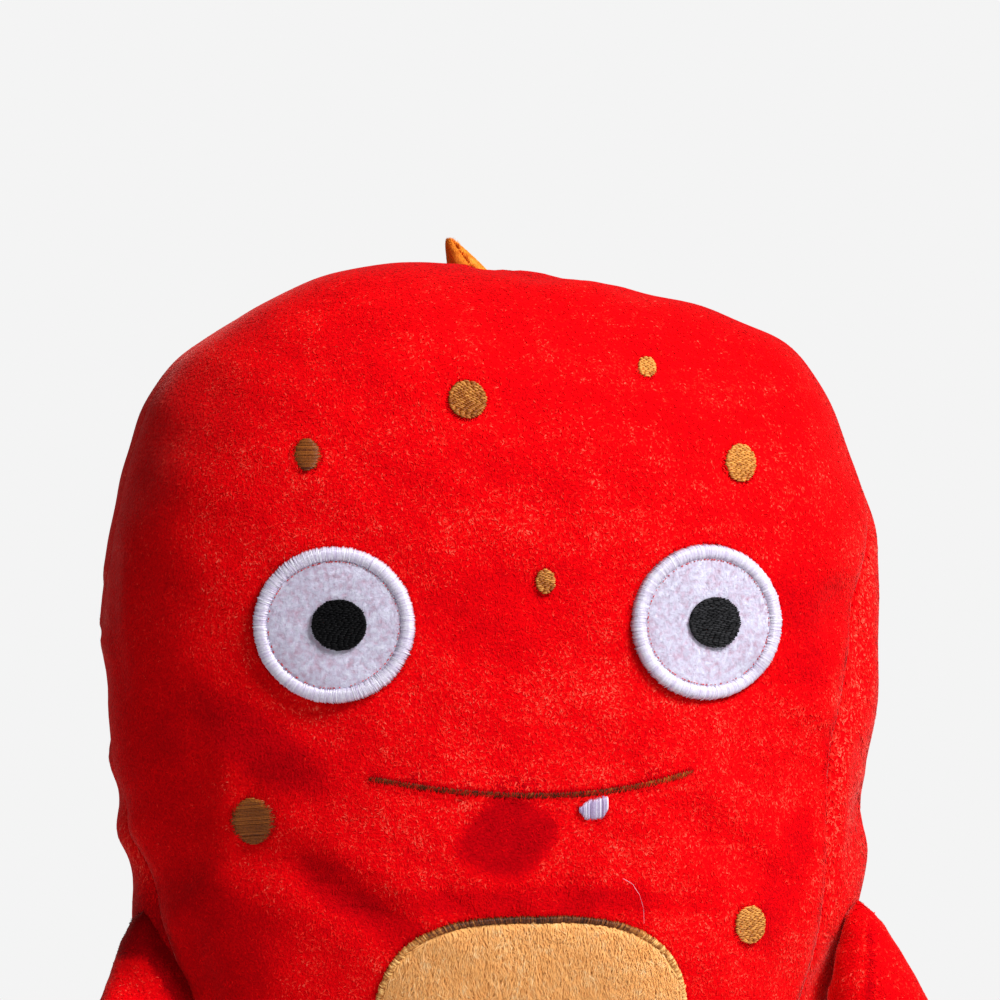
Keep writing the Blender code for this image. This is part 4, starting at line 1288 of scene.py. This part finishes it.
def stitch_faces(count):
    """Quads of the tubes and their two closing caps."""
    faces = []
    for stitch in range(count):
        base = stitch * STITCH_STATIONS * STITCH_SIDES
        for station in range(STITCH_STATIONS - 1):
            low = base + station * STITCH_SIDES
            for side in range(STITCH_SIDES):
                after = (side + 1) % STITCH_SIDES
                high = low + STITCH_SIDES
                faces.append((low + side, high + side, high + after, low + after))
        last = base + (STITCH_STATIONS - 1) * STITCH_SIDES
        faces.append(tuple(base + side for side in range(STITCH_SIDES)))
        faces.append(tuple(last + side for side in reversed(range(STITCH_SIDES))))
    return faces


print("a stitch has", STITCH_STATIONS * STITCH_SIDES, "points")

# %% [markdown]
# ## Threads as one piece
# The threads of a shape are one mesh, and each thread has one shade, a bit lighter or darker than
# its neighbours, as real thread looks when it turns in the light.

# %% Lay stitches
def lay_stitches(
    name, starts, ends, arch, radius, lift, material, seed=1, tone=0.6, tones=None, wild=1.0
):
    """Threads between places (x, z) of the face; tones are added to the tone, one for each thread."""
    points, rng = stitch_arrays(np.array(starts), np.array(ends), arch, radius, lift, seed, wild)
    count = len(points)
    mesh = bpy.data.meshes.new(name)
    mesh.from_pydata(points.reshape(-1, 3).tolist(), [], stitch_faces(count))
    mesh.materials.append(material)
    mesh.shade_smooth()
    shade = tone + rng.normal(size=count) * 0.12 * wild
    if tones is not None:
        shade = shade + tones
    store_values(mesh, np.repeat(shade, STITCH_STATIONS * STITCH_SIDES))
    piece = link_piece(name, mesh)
    face_outwards(piece)
    print(name, count, "stitches")
    return piece


def join_pieces(name, pieces):
    select_only(pieces[0])
    for piece in pieces:
        piece.select_set(True)
    bpy.ops.object.join()
    joined = bpy.context.object
    joined.name = name
    return joined


# %% [markdown]
# ## Pads under the stitches
# Embroidery that stands up is sewn over a layer of padding.  Pads start as a flattened ball and
# rings as a torus.  Both could be pressed onto the cloth with Shrinkwrap, but the map of the face
# puts each point at its height at once.

# %% Lay pads and rings
PAD_SHADE = 0.4
RING_STEP = 0.1
RING_SEGMENTS = 96
RING_SIDES = 10
FINE_STEPS = 2000


def oval_place(centre, half, share, angle, squareness=2.0):
    """Place at a share of the size of an oval or rounded square, in the direction of an angle."""
    x = centre[0] + half[0] * share * signed_power(np.cos(angle), 2.0 / squareness)
    z = centre[1] + half[1] * share * signed_power(np.sin(angle), 2.0 / squareness)
    return x, z


def cover(piece, points, material, shade):
    """Puts a pad's points in place and gives it its finish."""
    move_points(piece.data, points)
    piece.data.shade_smooth()
    piece.data.materials.append(material)
    store_shade(piece, shade)
    return piece


def pad_on_cloth(name, centre, half, thickness, material, shade, lift=0.0, squareness=4.0):
    """Low pad with a flat back, from a flattened ball laid on the cloth."""
    pad = add_piece(name, bpy.ops.mesh.primitive_uv_sphere_add, segments=48, ring_count=14, radius=1.0)
    ball = points_of(pad.data)
    slant = np.arccos(np.clip(ball[:, 2], -1.0, 1.0))
    angle = np.arctan2(ball[:, 1], ball[:, 0])
    reach = np.maximum(np.sin(slant), 0.0) ** (2.0 / squareness)
    rise = signed_power(np.cos(slant), 2.0 / squareness)
    x, z = oval_place(centre, half, reach, angle)
    return cover(pad, on_cloth(x, z, lift + thickness * (0.5 + 0.5 * rise)), material, shade)


def ring_on_cloth(name, centre, half, width, height, material, shade, squareness=2.0):
    """Padding of a satin ring: a torus laid on the cloth, flat underneath."""
    ring = add_piece(
        name, bpy.ops.mesh.primitive_torus_add,
        major_segments=RING_SEGMENTS, minor_segments=RING_SIDES, major_radius=1.0, minor_radius=RING_STEP,
    )
    torus = points_of(ring.data)
    angle = np.arctan2(torus[:, 1], torus[:, 0])
    inward = (np.hypot(torus[:, 0], torus[:, 1]) - 1.0) / RING_STEP * width / 2.0
    around = (half[0] - width / 2.0 + inward, half[1] - width / 2.0 + inward)
    x, z = oval_place(centre, around, 1.0, angle, squareness)
    return cover(ring, on_cloth(x, z, height * (0.5 + 0.5 * torus[:, 2] / RING_STEP)), material, shade)


def ring_stitches(centre, half, width, spacing, squareness, seed):
    """Ends of the stitches that cross a ring, evenly spaced along it."""
    rng = np.random.default_rng(seed)
    fine = np.linspace(0.0, 2.0 * math.pi, FINE_STEPS)
    outer = np.stack(oval_place((0.0, 0.0), half, 1.0, fine, squareness), axis=1)
    run = np.concatenate([[0.0], np.cumsum(np.linalg.norm(np.diff(outer, axis=0), axis=1))])
    count = int(run[-1] / spacing)
    places = (np.arange(count) + rng.normal(size=count) * 0.08) / count * run[-1]
    edge = np.stack([np.interp(places, run, outer[:, axis], period=run[-1]) for axis in (0, 1)], axis=1)
    off = np.linalg.norm(edge, axis=1, keepdims=True)
    inner_share = 1.0 - width / off
    slant = places / run[-1] * 2.0 * math.pi
    uneven = rng.normal(size=(count, 2)) * STITCH_END_SPREAD / off
    starts = edge * (inner_share + uneven[:, :1])
    ends = edge * (0.995 + uneven[:, 1:])
    return starts + np.array(centre), ends + np.array(centre), slant


print("a ring's padding has", RING_SEGMENTS * RING_SIDES, "points")

# %% [markdown]
# ## Satin rings and filled ovals
# Two shapes of embroidery come back in several places.  A satin ring is padding with stitches
# across it, all the way round.  An oval is filled with rows, and where its thread shines the rows
# are cut into short stitches, set off from row to row like bricks.

# %% Lay rings and rows
RING_SPACING = 0.20 * MM
RING_THREAD = 0.15 * MM
PADDING_INSET = 0.19
PADDING_SHARE = 0.62
ROW_STEP = 1.0 * MM
ROW_THREAD = 0.17 * MM


def satin_ring(
    names, centre, half, width, pad_height, pad_shade, arch, lift, material, seeds, tone, wild,
    squareness=2.0, tones_of=None,
):
    """Padding and the threads across it, joined; tones_of gives tones by the way round."""
    padding_half = (half[0] - PADDING_INSET * width, half[1] - PADDING_INSET * width)
    padding = ring_on_cloth(
        names[0], centre, padding_half, PADDING_SHARE * width, pad_height, material, pad_shade, squareness
    )
    starts, ends, slant = ring_stitches(centre, half, width, RING_SPACING, squareness, seeds[0])
    threads = lay_stitches(
        names[1], starts, ends, arch, RING_THREAD, lift, material, seeds[1], tone,
        None if tones_of is None else tones_of(slant), wild,
    )
    return join_pieces(names[2], [padding, threads])


def filling_rows(centre, half, spacing, seed, turn=0.0, squareness=2.0):
    """Ends of the rows of thread that fill an oval, turned by an angle."""
    rng = np.random.default_rng(seed)
    rows = np.arange(-half[1] + spacing / 2.0, half[1], spacing)
    reach = half[0] * (1.0 - np.abs(rows / half[1]) ** squareness) ** (1.0 / squareness)
    reach = np.maximum(reach, 0.25 * MM)
    left = np.stack([-reach + rng.normal(size=len(rows)) * STITCH_END_SPREAD, rows], axis=1)
    right = np.stack([reach + rng.normal(size=len(rows)) * STITCH_END_SPREAD, rows], axis=1)
    turned = np.array([[math.cos(turn), math.sin(turn)], [-math.sin(turn), math.cos(turn)]])
    return left @ turned + np.array(centre), right @ turned + np.array(centre)


def split_rows(starts, ends, seed):
    """Cuts long rows into short stitches, set off from row to row like bricks."""
    rng = np.random.default_rng(seed)
    pieces = []
    for index, (start, end) in enumerate(zip(starts, ends)):
        length = np.linalg.norm(end - start)
        cuts = np.arange((index * 0.37 % 1.0) * ROW_STEP, length, ROW_STEP)
        cuts = cuts + rng.normal(size=len(cuts)) * 0.1 * MM
        cuts = np.concatenate([[0.0], cuts[(cuts > 0.3 * MM) & (cuts < length - 0.3 * MM)], [length]])
        run = (end - start) / length
        for low, high in zip(cuts[:-1], cuts[1:]):
            pieces.append((start + run * low, start + run * high))
    return np.array([low for low, _ in pieces]), np.array([high for _, high in pieces])


print("ring stitches lie", round(1000 * RING_SPACING, 2), "mm apart")

# %% [markdown]
# ## The eyes
# Each eye is a disc of white felt, a raised ring of white satin stitches round its edge, and a
# pupil of short black stitches.  The felt gets a fuzz of fine fibres, because bare felt looks
# like card, and where the needle went through it a few red fibres of the cloth came up.

# %% Make the eyes
FELT_THICKNESS = 1.1 * MM
FELT_OVERLAP = 0.4 * MM
RING_HEIGHT = 1.45 * MM
PUPIL_HALF = (4.6 * MM, 4.4 * MM)
# The right pupil is painted lighter than the left: a painted reflection of the light.
PUPIL_PAINTED_LIGHT = {"left": 0.15, "right": 0.75}
PUPIL_SHIFT = 0.9 * MM
FUZZ_NAP = np.array([1.0, -0.3, 0.4])
PRICKS = 115
PRICKS_SHOWN = 0.8


def raise_pricks(side, seed):
    """Red fibres that show where the needle went down at the inner edge of the ring."""
    rng = np.random.default_rng(seed)
    angle = np.arange(PRICKS) * 0.055 + rng.normal(size=PRICKS) * 0.012
    angle = angle[rng.random(PRICKS) < PRICKS_SHOWN]
    inner = np.array(EYE_HALF) - RING_WIDTH - 0.05 * MM
    rim = np.stack([np.cos(angle), np.sin(angle)], axis=1)
    middle = np.array(EYES[side]) + rim * inner
    along = np.stack([-rim[:, 1], rim[:, 0]], axis=1) * rng.uniform(0.05, 0.22, (len(angle), 1)) * MM
    pricks = lay_stitches(
        "eye_" + side + "_pricks", middle - along, middle + along, 0.0, 0.09 * MM, 1.02 * FELT_THICKNESS,
        red_pile, seed + 1, 0.45,
    )
    finish_piece(pricks, "red_pile")


def make_felt(side, seed):
    """The disc of felt and its fuzz."""
    inner = (EYE_HALF[0] - RING_WIDTH + FELT_OVERLAP, EYE_HALF[1] - RING_WIDTH + FELT_OVERLAP)
    felt = pad_on_cloth(
        "eye_" + side + "_disc", EYES[side], inner, FELT_THICKNESS, white_felt, CLOTH_SHADE, squareness=8.0
    )

    def on_top(places):
        return places[:, 1] < on_cloth(places[:, 0], places[:, 2], 0.6 * FELT_THICKNESS)[:, 1]

    fuzz = sow_pile(
        "eye_" + side + "_fuzz", felt, felt_fuzz, 26000, 0.9 * MM, 0.10 * MM, tilt=16.0, spread=180.0,
        seed=seed, keep=on_top, clump=1.5 * MM, nap=FUZZ_NAP,
        shading=lambda places: -0.03 + 0.10 * clump_waves(places, 5.0 * MM, seed + 6),
    )
    return felt, fuzz


def make_pupil(side, seed):
    """A pad of black thread with short stitches over it."""
    centre = (EYES[side][0] + PUPIL_SHIFT, EYES[side][1])
    base = pad_on_cloth(
        "pupil_padding", centre, PUPIL_HALF, 0.5 * MM, black_thread, 0.1, lift=0.8 * FELT_THICKNESS
    )
    starts, ends = filling_rows(centre, PUPIL_HALF, 0.30 * MM, seed + 3, turn=0.12)
    starts, ends = split_rows(starts, ends, seed + 7)
    lift = 1.15 * FELT_THICKNESS + 0.2 * MM
    rows = lay_stitches(
        "pupil_rows", starts, ends, 0.16 * MM, ROW_THREAD, lift, black_thread, seed + 4, PUPIL_PAINTED_LIGHT[side]
    )
    return join_pieces("eye_" + side + "_pupil_rows", [base, rows])


def make_eye(side, seed):
    felt, fuzz = make_felt(side, seed)
    ring = satin_ring(
        ("ring_padding", "ring_threads", "eye_" + side + "_ring"), EYES[side], EYE_HALF, RING_WIDTH,
        0.72 * RING_HEIGHT, PAD_SHADE, RING_HEIGHT, 0.1 * MM, white_thread, (seed + 1, seed + 2), 0.58, 0.6,
    )
    pupil = make_pupil(side, seed)
    finish_piece(felt, "white_felt", "eye_" + side + "_felt")
    raise_pricks(side, seed + 5)
    finish_piece(fuzz, "white_felt")
    finish_piece(ring, "white_thread", "eye_" + side + "_stitching")
    finish_piece(pupil, "black_thread", "eye_" + side + "_pupil")


make_eye("left", 101)
make_eye("right", 151)

# %% [markdown]
# ## Mouth
# The mouth is a narrow line of slanted satin stitches that sinks into the pile, with a painted
# golden highlight on its right end, where the light falls, and small painted glints along it.  A
# curve with a round bevel would give the line, but not its edge of single threads.

# %% Make the mouth
MOUTH_HALF_WIDTH = 0.50 * MM
MOUTH_SPACING = 0.30 * MM
MOUTH_SLANT = math.radians(52.0)
MOUTH_ARCH = 0.28 * MM
MOUTH_THREAD = 0.18 * MM
MOUTH_SINK = 0.04 * MM

mouth_x = np.arange(MOUTH_LOW[0] - MOUTH_SPANS[0], MOUTH_LOW[0] + MOUTH_SPANS[1], MOUTH_SPACING)
mouth_line = np.stack([mouth_x, mouth_height(mouth_x)], axis=1)
mouth_run = unit(np.gradient(mouth_line, axis=0))
cos_slant, sin_slant = math.cos(MOUTH_SLANT), math.sin(MOUTH_SLANT)
run_x, run_z = mouth_run.T
crossing = np.stack([run_x * cos_slant - run_z * sin_slant, run_x * sin_slant + run_z * cos_slant], axis=1)
order = np.arange(len(mouth_x))
taper = np.minimum(1.0, 0.45 + 0.2 * np.minimum(order, order[::-1]))
reach = crossing * (MOUTH_HALF_WIDTH / sin_slant * taper)[:, None]
# Painted highlight: the right end golden, and small glints along the line.
mouth_painted_highlight = 0.42 * smooth_step(10.0 * MM, 28.0 * MM, mouth_x) + 0.12 * np.sin(mouth_x * 900.0) ** 2
mouth = lay_stitches(
    "mouth_threads", mouth_line - reach, mouth_line + reach, MOUTH_ARCH, MOUTH_THREAD, -MOUTH_SINK,
    brown_thread, 201, 0.14, mouth_painted_highlight,
)
finish_piece(mouth, "brown_thread", "mouth_stitching")

# %% [markdown]
# ## Tooth
# The tooth hangs from the mouth line.  It is filled with upright stitches that lie unevenly, so
# its outline is a little ragged.  Its top and foot are given by a few points each, since the
# stitches simply run from one to the other.

# %% Make the tooth
TOOTH_THREAD = 0.15 * MM
TOOTH_TOP = ((-2.6, 0.3), (-1.6, 1.1), (-0.7, 1.8), (0.5, 1.9), (1.6, 2.2), (2.5, 2.1))
TOOTH_FOOT = ((-2.6, -0.7), (-1.6, -1.8), (-0.5, -2.1), (0.7, -2.0), (1.7, -1.6), (2.5, -0.4))
tooth_middle = (TOOTH_CENTRE[0], TOOTH_CENTRE[1] + 0.1 * MM)
tooth_pad = pad_on_cloth(
    "tooth_padding", tooth_middle, (2.1 * MM, 1.5 * MM), 0.5 * MM, white_thread, 0.35
)
tooth_x = np.arange(-2.5, 2.45, 0.22)
starts = np.stack([tooth_x, read_line(TOOTH_TOP, tooth_x)], axis=1) * MM + np.array(TOOTH_CENTRE)
ends = np.stack([tooth_x, read_line(TOOTH_FOOT, tooth_x)], axis=1) * MM + np.array(TOOTH_CENTRE)
tooth_rows = lay_stitches(
    "tooth_rows", starts, ends, 0.5 * MM, TOOTH_THREAD, 0.05 * MM, white_thread, 211, 0.34, wild=1.6
)
tooth = join_pieces("tooth_threads", [tooth_pad, tooth_rows])
finish_piece(tooth, "white_thread", "tooth_stitching")

# %% [markdown]
# ## Spots
# Seven small ovals are filled with golden brown thread.  The two on the shaded side get painted
# shade and show long plain rows, the lit ones a painted highlight and short stitches with painted
# glints.  One spot could be made and copied, but each lies on its own piece of curved cloth, so a
# loop makes each in its place.

# %% Make the spots
SPOT_SPACING = 0.25 * MM
SPOT_PADDING = 0.93
# Painted light of each spot: the lit ones lighter, the two on the shaded side darker.
SPOT_PAINTED_LIGHT = {
    "spot_crown": 0.06,
    "spot_brow_right": 0.40,
    "spot_temple_right": 0.30,
    "spot_temple_left": -0.26,
    "spot_nose": 0.15,
    "spot_cheek_left": -0.18,
    "spot_cheek_right": 0.26,
}
for index, (name, (centre, half)) in enumerate(SPOTS.items()):
    padding_half = (half[0] * SPOT_PADDING, half[1] * SPOT_PADDING)
    padding = pad_on_cloth("spot_padding", centre, padding_half, 0.4 * MM, gold_thread, 0.25)
    starts, ends = filling_rows(centre, half, SPOT_SPACING, 300 + index, turn=0.05 * (index - 3))
    painted_glints = SPOT_PAINTED_LIGHT[name] > 0.0
    if painted_glints:
        starts, ends = split_rows(starts, ends, 310 + index)
    height = (starts[:, 1] - centre[1]) / half[1]
    # Each spot is a little lighter towards its top, and the lit ones get painted glints row by row.
    tones = 0.09 * height + SPOT_PAINTED_LIGHT[name] + 0.12 * np.sin(np.arange(len(starts)) * 1.9) * painted_glints
    rows = lay_stitches(
        "spot_rows", starts, ends, 0.45 * MM, ROW_THREAD, 0.10 * MM, gold_thread, 320 + index, 0.5, tones,
        wild=0.7,
    )
    spot = join_pieces(name + "_threads", [padding, rows])
    finish_piece(spot, "gold_thread", name)

# %% [markdown]
# ## Tummy patch
# A patch of tan cloth with longer and wilder pile.  It is a grid drawn onto a rounded square, as
# the panels were onto the body, raised in the middle, and its fibres lie in streaks, because
# long pile sticks together.

# %% Make the tummy patch
TUMMY_RISE = 1.0 * MM
TUMMY_BORDER = 1.4 * MM
TUMMY_THICKNESS = 0.9 * MM
STREAKS = np.array([1.0, 1.0, 0.35])


def make_tummy():
    patch = add_grid("tummy_cloth", 60, 60)
    flat = points_of(patch.data)
    radius, angle = disc_place(flat[:, 0], flat[:, 1])
    inner = (TUMMY_HALF[0] - TUMMY_BORDER * 0.7, TUMMY_HALF[1] - TUMMY_BORDER * 0.7)
    x, z = oval_place(TUMMY_CENTRE, inner, radius, angle, TUMMY_SQUARENESS)
    rise = TUMMY_RISE * (0.55 + 0.9 * (1.0 - radius**4))
    move_points(patch.data, on_cloth(x, z, rise))
    patch.data.shade_smooth()
    return patch


tummy_cloth = make_tummy()
tummy_pile = sow_pile(
    "tummy_pile", tummy_cloth, tan_pile, 34000, 1.7 * MM, 0.40 * MM, tilt=24.0, spread=42.0, seed=401,
    clump=4.0 * MM, shading=lambda places: clump_waves(places * STREAKS, 1.6 * MM, 402) * 0.07 + 0.03,
)
thicken(tummy_cloth, TUMMY_THICKNESS, tan_cloth, 0.42)
finish_piece(tummy_cloth, "tan_pile", "tummy_patch", fill=0.5)
finish_piece(tummy_pile, "tan_pile")

# %% [markdown]
# ## Border of the tummy patch
# A satin border of brown thread holds the patch down.  It is the same work as the rings of the
# eyes, narrower and darker, with a painted golden highlight on the threads at the patch's sides
# and painted shade along its top.

# %% Sew the border
def border_painted_light(slant):
    """Painted highlight, lighter at the two sides than along the top and bottom, and painted shade along the
    top.
    """
    sides = smooth_step(0.35, 0.9, np.abs(np.cos(slant)))
    return 0.56 * sides - 0.10 * smooth_step(0.6, 1.0, np.sin(slant))


tummy_border = satin_ring(
    ("border_padding", "border_threads", "tummy_border_threads"), TUMMY_CENTRE, TUMMY_HALF, TUMMY_BORDER,
    0.5 * MM, 0.2, 0.75 * MM, 0.08 * MM, border_thread, (411, 421), 0.32, 1.1, TUMMY_SQUARENESS, border_painted_light,
)
finish_piece(tummy_border, "brown_thread", "tummy_stitching")

# %% [markdown]
# ## Stuffing the small pieces
# Arms, legs and spike begin as copies of their solids.  The copy is remeshed into even faces,
# blown up a little as cloth so that its flat facets go, and smoothed once more.  New cylinders
# could be shaped for them, but copies keep the sizes of the solid model.

# %% Stuff a small piece
def stuffed_copy(name, node, voxel, cap, held_of):
    """Remeshed, blown up and smoothed copy of a solid; held_of says where it is held."""
    piece = link_piece(name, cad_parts[node].data.copy())
    piece.data.materials.clear()
    select_only(piece)
    bpy.ops.object.mode_set(mode="EDIT")
    bpy.ops.mesh.select_all(action="SELECT")
    bpy.ops.mesh.remove_doubles(threshold=0.01 * MM)
    bpy.ops.object.mode_set(mode="OBJECT")
    remesh = piece.modifiers.new("even", "REMESH")
    remesh.mode = "VOXEL"
    remesh.voxel_size = voxel
    apply_modifiers(piece)
    places = points_of(piece.data)
    let_cloth_swell(piece, held_of(places).astype(float), slack=-0.02, cap=cap)
    smooth = piece.modifiers.new("smooth", "SMOOTH")
    smooth.iterations = 4
    smooth.factor = 0.5
    fine = piece.modifiers.new("fine", "SUBSURF")
    fine.levels = 1
    fine.render_levels = 1
    apply_modifiers(piece)
    piece.data.shade_smooth()
    print(name, len(piece.data.polygons), "faces")
    return piece


def finish_limb(cloth, pile, material, slot, node, shade, shading=None):
    """Finish of a small stuffed piece and of the pile on it."""
    cloth.data.materials.append(material)
    store_shade(cloth, shade, shading)
    finish_piece(cloth, slot, node, fill=STUFFED)
    finish_piece(pile, slot)


# %% [markdown]
# ## Arms
# The arms hang from the side seams, and stuffed arms never hang straight.  Each is bent by moving
# its points near a few heights.  An armature would bend it too, but for one still bend that is
# more work.  The left arm's top gets painted shade where the body shades it, and a crease is
# painted down the right arm.

# %% Bend and cover the arms
# How each arm bends from its solid: height, reach, shift out, shift back
ARM_BENDS = {
    "left": ((86.0, 8.0, 1.0, 3.2), (72.0, 10.0, -1.3, 0.8)),
    "right": ((72.0, 12.0, 1.2, 0.0),),
}
ARM_TUCK = 4.0 * MM
SHOULDER = 88.0 * MM


def bend_arm(piece, side):
    points = points_of(piece.data)
    outward = -1.0 if side == "left" else 1.0
    for height, reach, out, back in ARM_BENDS[side]:
        near = np.exp(-(((points[:, 2] - height * MM) / (reach * MM)) ** 2))
        points[:, 0] += outward * out * MM * near
        points[:, 1] += back * MM * near
    if side == "left":
        slanted = points[:, 0] + 0.5 * (points[:, 2] - 80.0 * MM)
        points[:, 1] += ARM_TUCK * smooth_step(-76.0 * MM, -66.0 * MM, slanted)
    move_points(piece.data, points)


def left_arm_painted_shade(places):
    """Painted shade on the left arm's top and inner side, where the body shades them."""
    x = places[:, 0] / MM
    z = places[:, 2] / MM
    diagonal = ((z - 79.9) + 1.63 * (x + 62.1)) / 1.9
    return -0.55 * smooth_step(-0.6, 0.8, np.maximum(z - 81.3, diagonal)) * (places[:, 1] < 8.0 * MM)


def right_arm_painted_crease(places):
    """A painted crease down the right arm beside its seam: painted shade in it, a painted highlight beside
    it.
    """
    x = places[:, 0] / MM
    z = places[:, 2] / MM
    off = x - (65.4 - 0.1 * (86.0 - z))
    near = smooth_step(70.0, 74.0, z) * (1.0 - smooth_step(84.0, 88.0, z)) * (places[:, 1] < 0.0)
    return (0.10 * np.exp(-(((off + 1.0) / 0.8) ** 2)) - 0.22 * np.exp(-(((off - 0.4) / 0.7) ** 2))) * near


for side, seed, shading in (("left", 501, left_arm_painted_shade), ("right", 531, right_arm_painted_crease)):
    node = "arm_" + side
    arm = stuffed_copy(node + "_cloth", node, 2.2 * MM, 1.2 * MM, lambda p: p[:, 2] > SHOULDER)
    bend_arm(arm, side)
    arm_pile = sow_pile(
        node + "_pile", arm, red_pile, 26000, PILE_LENGTH, PILE_WIDTH, seed=seed, shading=shading
    )
    finish_limb(arm, arm_pile, red_cloth, "red_pile", node, CLOTH_SHADE, shading)

# %% [markdown]
# ## Legs
# The legs are stubs, kept in shape by their soles, so their cloth is held near the floor while
# it swells.  Their pile ends just above the sole, where the seam is.

# %% Cover the legs
SOLE_SEAM = 3.2 * MM
LEG_HELD = 3.5 * MM
for side, seed in (("left", 601), ("right", 631)):
    node = "leg_" + side
    leg = stuffed_copy(node + "_cloth", node, 2.4 * MM, 1.0 * MM, lambda p: p[:, 2] < LEG_HELD)
    leg_pile = sow_pile(
        node + "_pile", leg, red_pile, 26000, PILE_LENGTH, 0.50 * MM, seed=seed,
        keep=lambda places: places[:, 2] > SOLE_SEAM,
    )
    finish_limb(leg, leg_pile, red_cloth, "red_pile", node, CLOTH_SHADE)

# %% [markdown]
# ## Spike
# The spike is two small cloths sewn at their edge, in orange pile that is brushed upwards.  Its
# tip is drawn a little up and to the left of the solid's, and the left cloth, which turns away
# from the light, is painted darker, cloth and pile: painted shade.

# %% Cover the spike
TIP_START = 202.0 * MM
TIP_END = 209.0 * MM
TIP_RISE = 1.3 * MM
TIP_SHIFTS = {"left": 0.9 * MM, "right": 1.4 * MM}
BASE_SHIFTS = {"left": 0.9 * MM, "right": 0.0}
SPIKE_HELD = 200.0 * MM
SPIKE_NAP = np.array([0.1, -0.1, 1.0])
# Painted shade: the left half's cloth and pile are darker than the right's.
for side, seed, shade in (("left", 701, 0.4), ("right", 731, 0.5)):
    node = "spike_" + side + "_cloth"
    spike = stuffed_copy("spike_" + side + "_shell", node, 0.9 * MM, 0.3 * MM, lambda p: p[:, 2] < SPIKE_HELD)
    points = points_of(spike.data)
    tip = smooth_step(TIP_START, TIP_END, points[:, 2])
    points[:, 0] -= TIP_SHIFTS[side] * tip
    points[:, 0] += BASE_SHIFTS[side] * (1.0 - tip)
    points[:, 2] += TIP_RISE * tip
    move_points(spike.data, points)
    spike_pile = sow_pile(
        "spike_" + side + "_pile", spike, orange_pile, 6000, 0.75 * MM, 0.32 * MM, seed=seed, spread=40.0,
        nap=SPIKE_NAP, clump=2.0 * MM,
        shading=(lambda places: np.full(len(places), -0.12)) if side == "left" else None,
    )
    finish_limb(spike, spike_pile, orange_cloth, "orange_pile", node, shade)

# %% [markdown]
# ## Soles
# The soles are small flat discs that the toy stands on.  They could be cut from a sheet, but a
# cylinder stretched to the size of the solid gives the same oval at once.  Their edge is rounded
# and their cloth is worn short, so they have a grain but no tufts.

# %% Make the soles
SOLE_THICKNESS = 1.6 * MM
SOLE_EDGE = 0.5 * MM
for side in SIDES:
    low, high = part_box("sole_" + side)
    sole = add_piece(
        "sole_" + side + "_cloth", bpy.ops.mesh.primitive_cylinder_add,
        vertices=72, radius=1.0, depth=SOLE_THICKNESS, location=(0.0, 0.0, SOLE_THICKNESS / 2.0),
    )
    bpy.ops.object.transform_apply(location=True, rotation=True, scale=True)
    points = points_of(sole.data)
    for axis in (0, 1):
        half_size = (high[axis] - low[axis]) / 2.0
        points[:, axis] = (low[axis] + high[axis]) / 2.0 + points[:, axis] * half_size
    move_points(sole.data, points)
    edge = sole.modifiers.new("edge", "BEVEL")
    edge.width = SOLE_EDGE
    edge.segments = 3
    apply_modifiers(sole)
    sole.data.materials.append(red_cloth)
    store_shade(sole, 0.5)
    finish_piece(sole, "red_sole", "sole_" + side, fill=0.3)
    print(sole.name, len(sole.data.polygons), "faces")

# %% [markdown]
# ## Inside the toy
# The filling and the squeaker aren't seen, but whoever opens the model finds them finished.  They
# are the solids themselves, so only a finish is put on them: white fibre, and two pale plastics
# with a faint mottle.

# %% Finish the hidden parts
FIBRE_STOPS = ((0.0, (0.70, 0.70, 0.68)), (1.0, (0.93, 0.93, 0.91)))
BULB_STOPS = ((0.0, (0.72, 0.75, 0.78)), (1.0, (0.80, 0.83, 0.86)))
REED_STOPS = ((0.0, (0.80, 0.80, 0.77)), (1.0, (0.90, 0.90, 0.87)))
fibre = cloth_material("filling_fibre", FIBRE_STOPS, 0.95, 0.2, PALE, 1.5 * MM, 0.5, 0.8 * MM)
bulb_plastic = cloth_material("bulb_plastic", BULB_STOPS, 0.35, 0.0, PALE, 4.0 * MM, 0.4)
reed_plastic = cloth_material("reed_plastic", REED_STOPS, 0.4, 0.0, PALE, 3.0 * MM, 0.4)
for node, material in (
    ("front_filling", fibre),
    ("back_filling", fibre),
    ("squeaker_bulb", bulb_plastic),
    ("squeaker_reed", reed_plastic),
):
    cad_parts[node].data.materials.clear()
    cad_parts[node].data.materials.append(material)
print("hidden parts finished")

# %% [markdown]
# ## One stray fibre
# A white fibre clings to the pile over the tummy, as lint does on any plush toy.  It could be a
# curve with a bevel, but it is thread like the embroidery, so the same helper lays it along a
# given path.

# %% Lay the stray fibre
FIBRE_RADIUS = 0.028 * MM
FIBRE_LIFT = 0.7 * MM
FIBRE_PATH = np.array([(18.2, 96.2), (20.0, 95.2), (21.3, 93.2), (22.0, 90.8), (22.1, 88.2)]) * MM
lint = lay_stitches(
    "stray_fibre", FIBRE_PATH[:-1], FIBRE_PATH[1:], 0.0, FIBRE_RADIUS, FIBRE_LIFT, lint_fibre, 801, 0.3
)
finish_piece(lint, "white_felt")
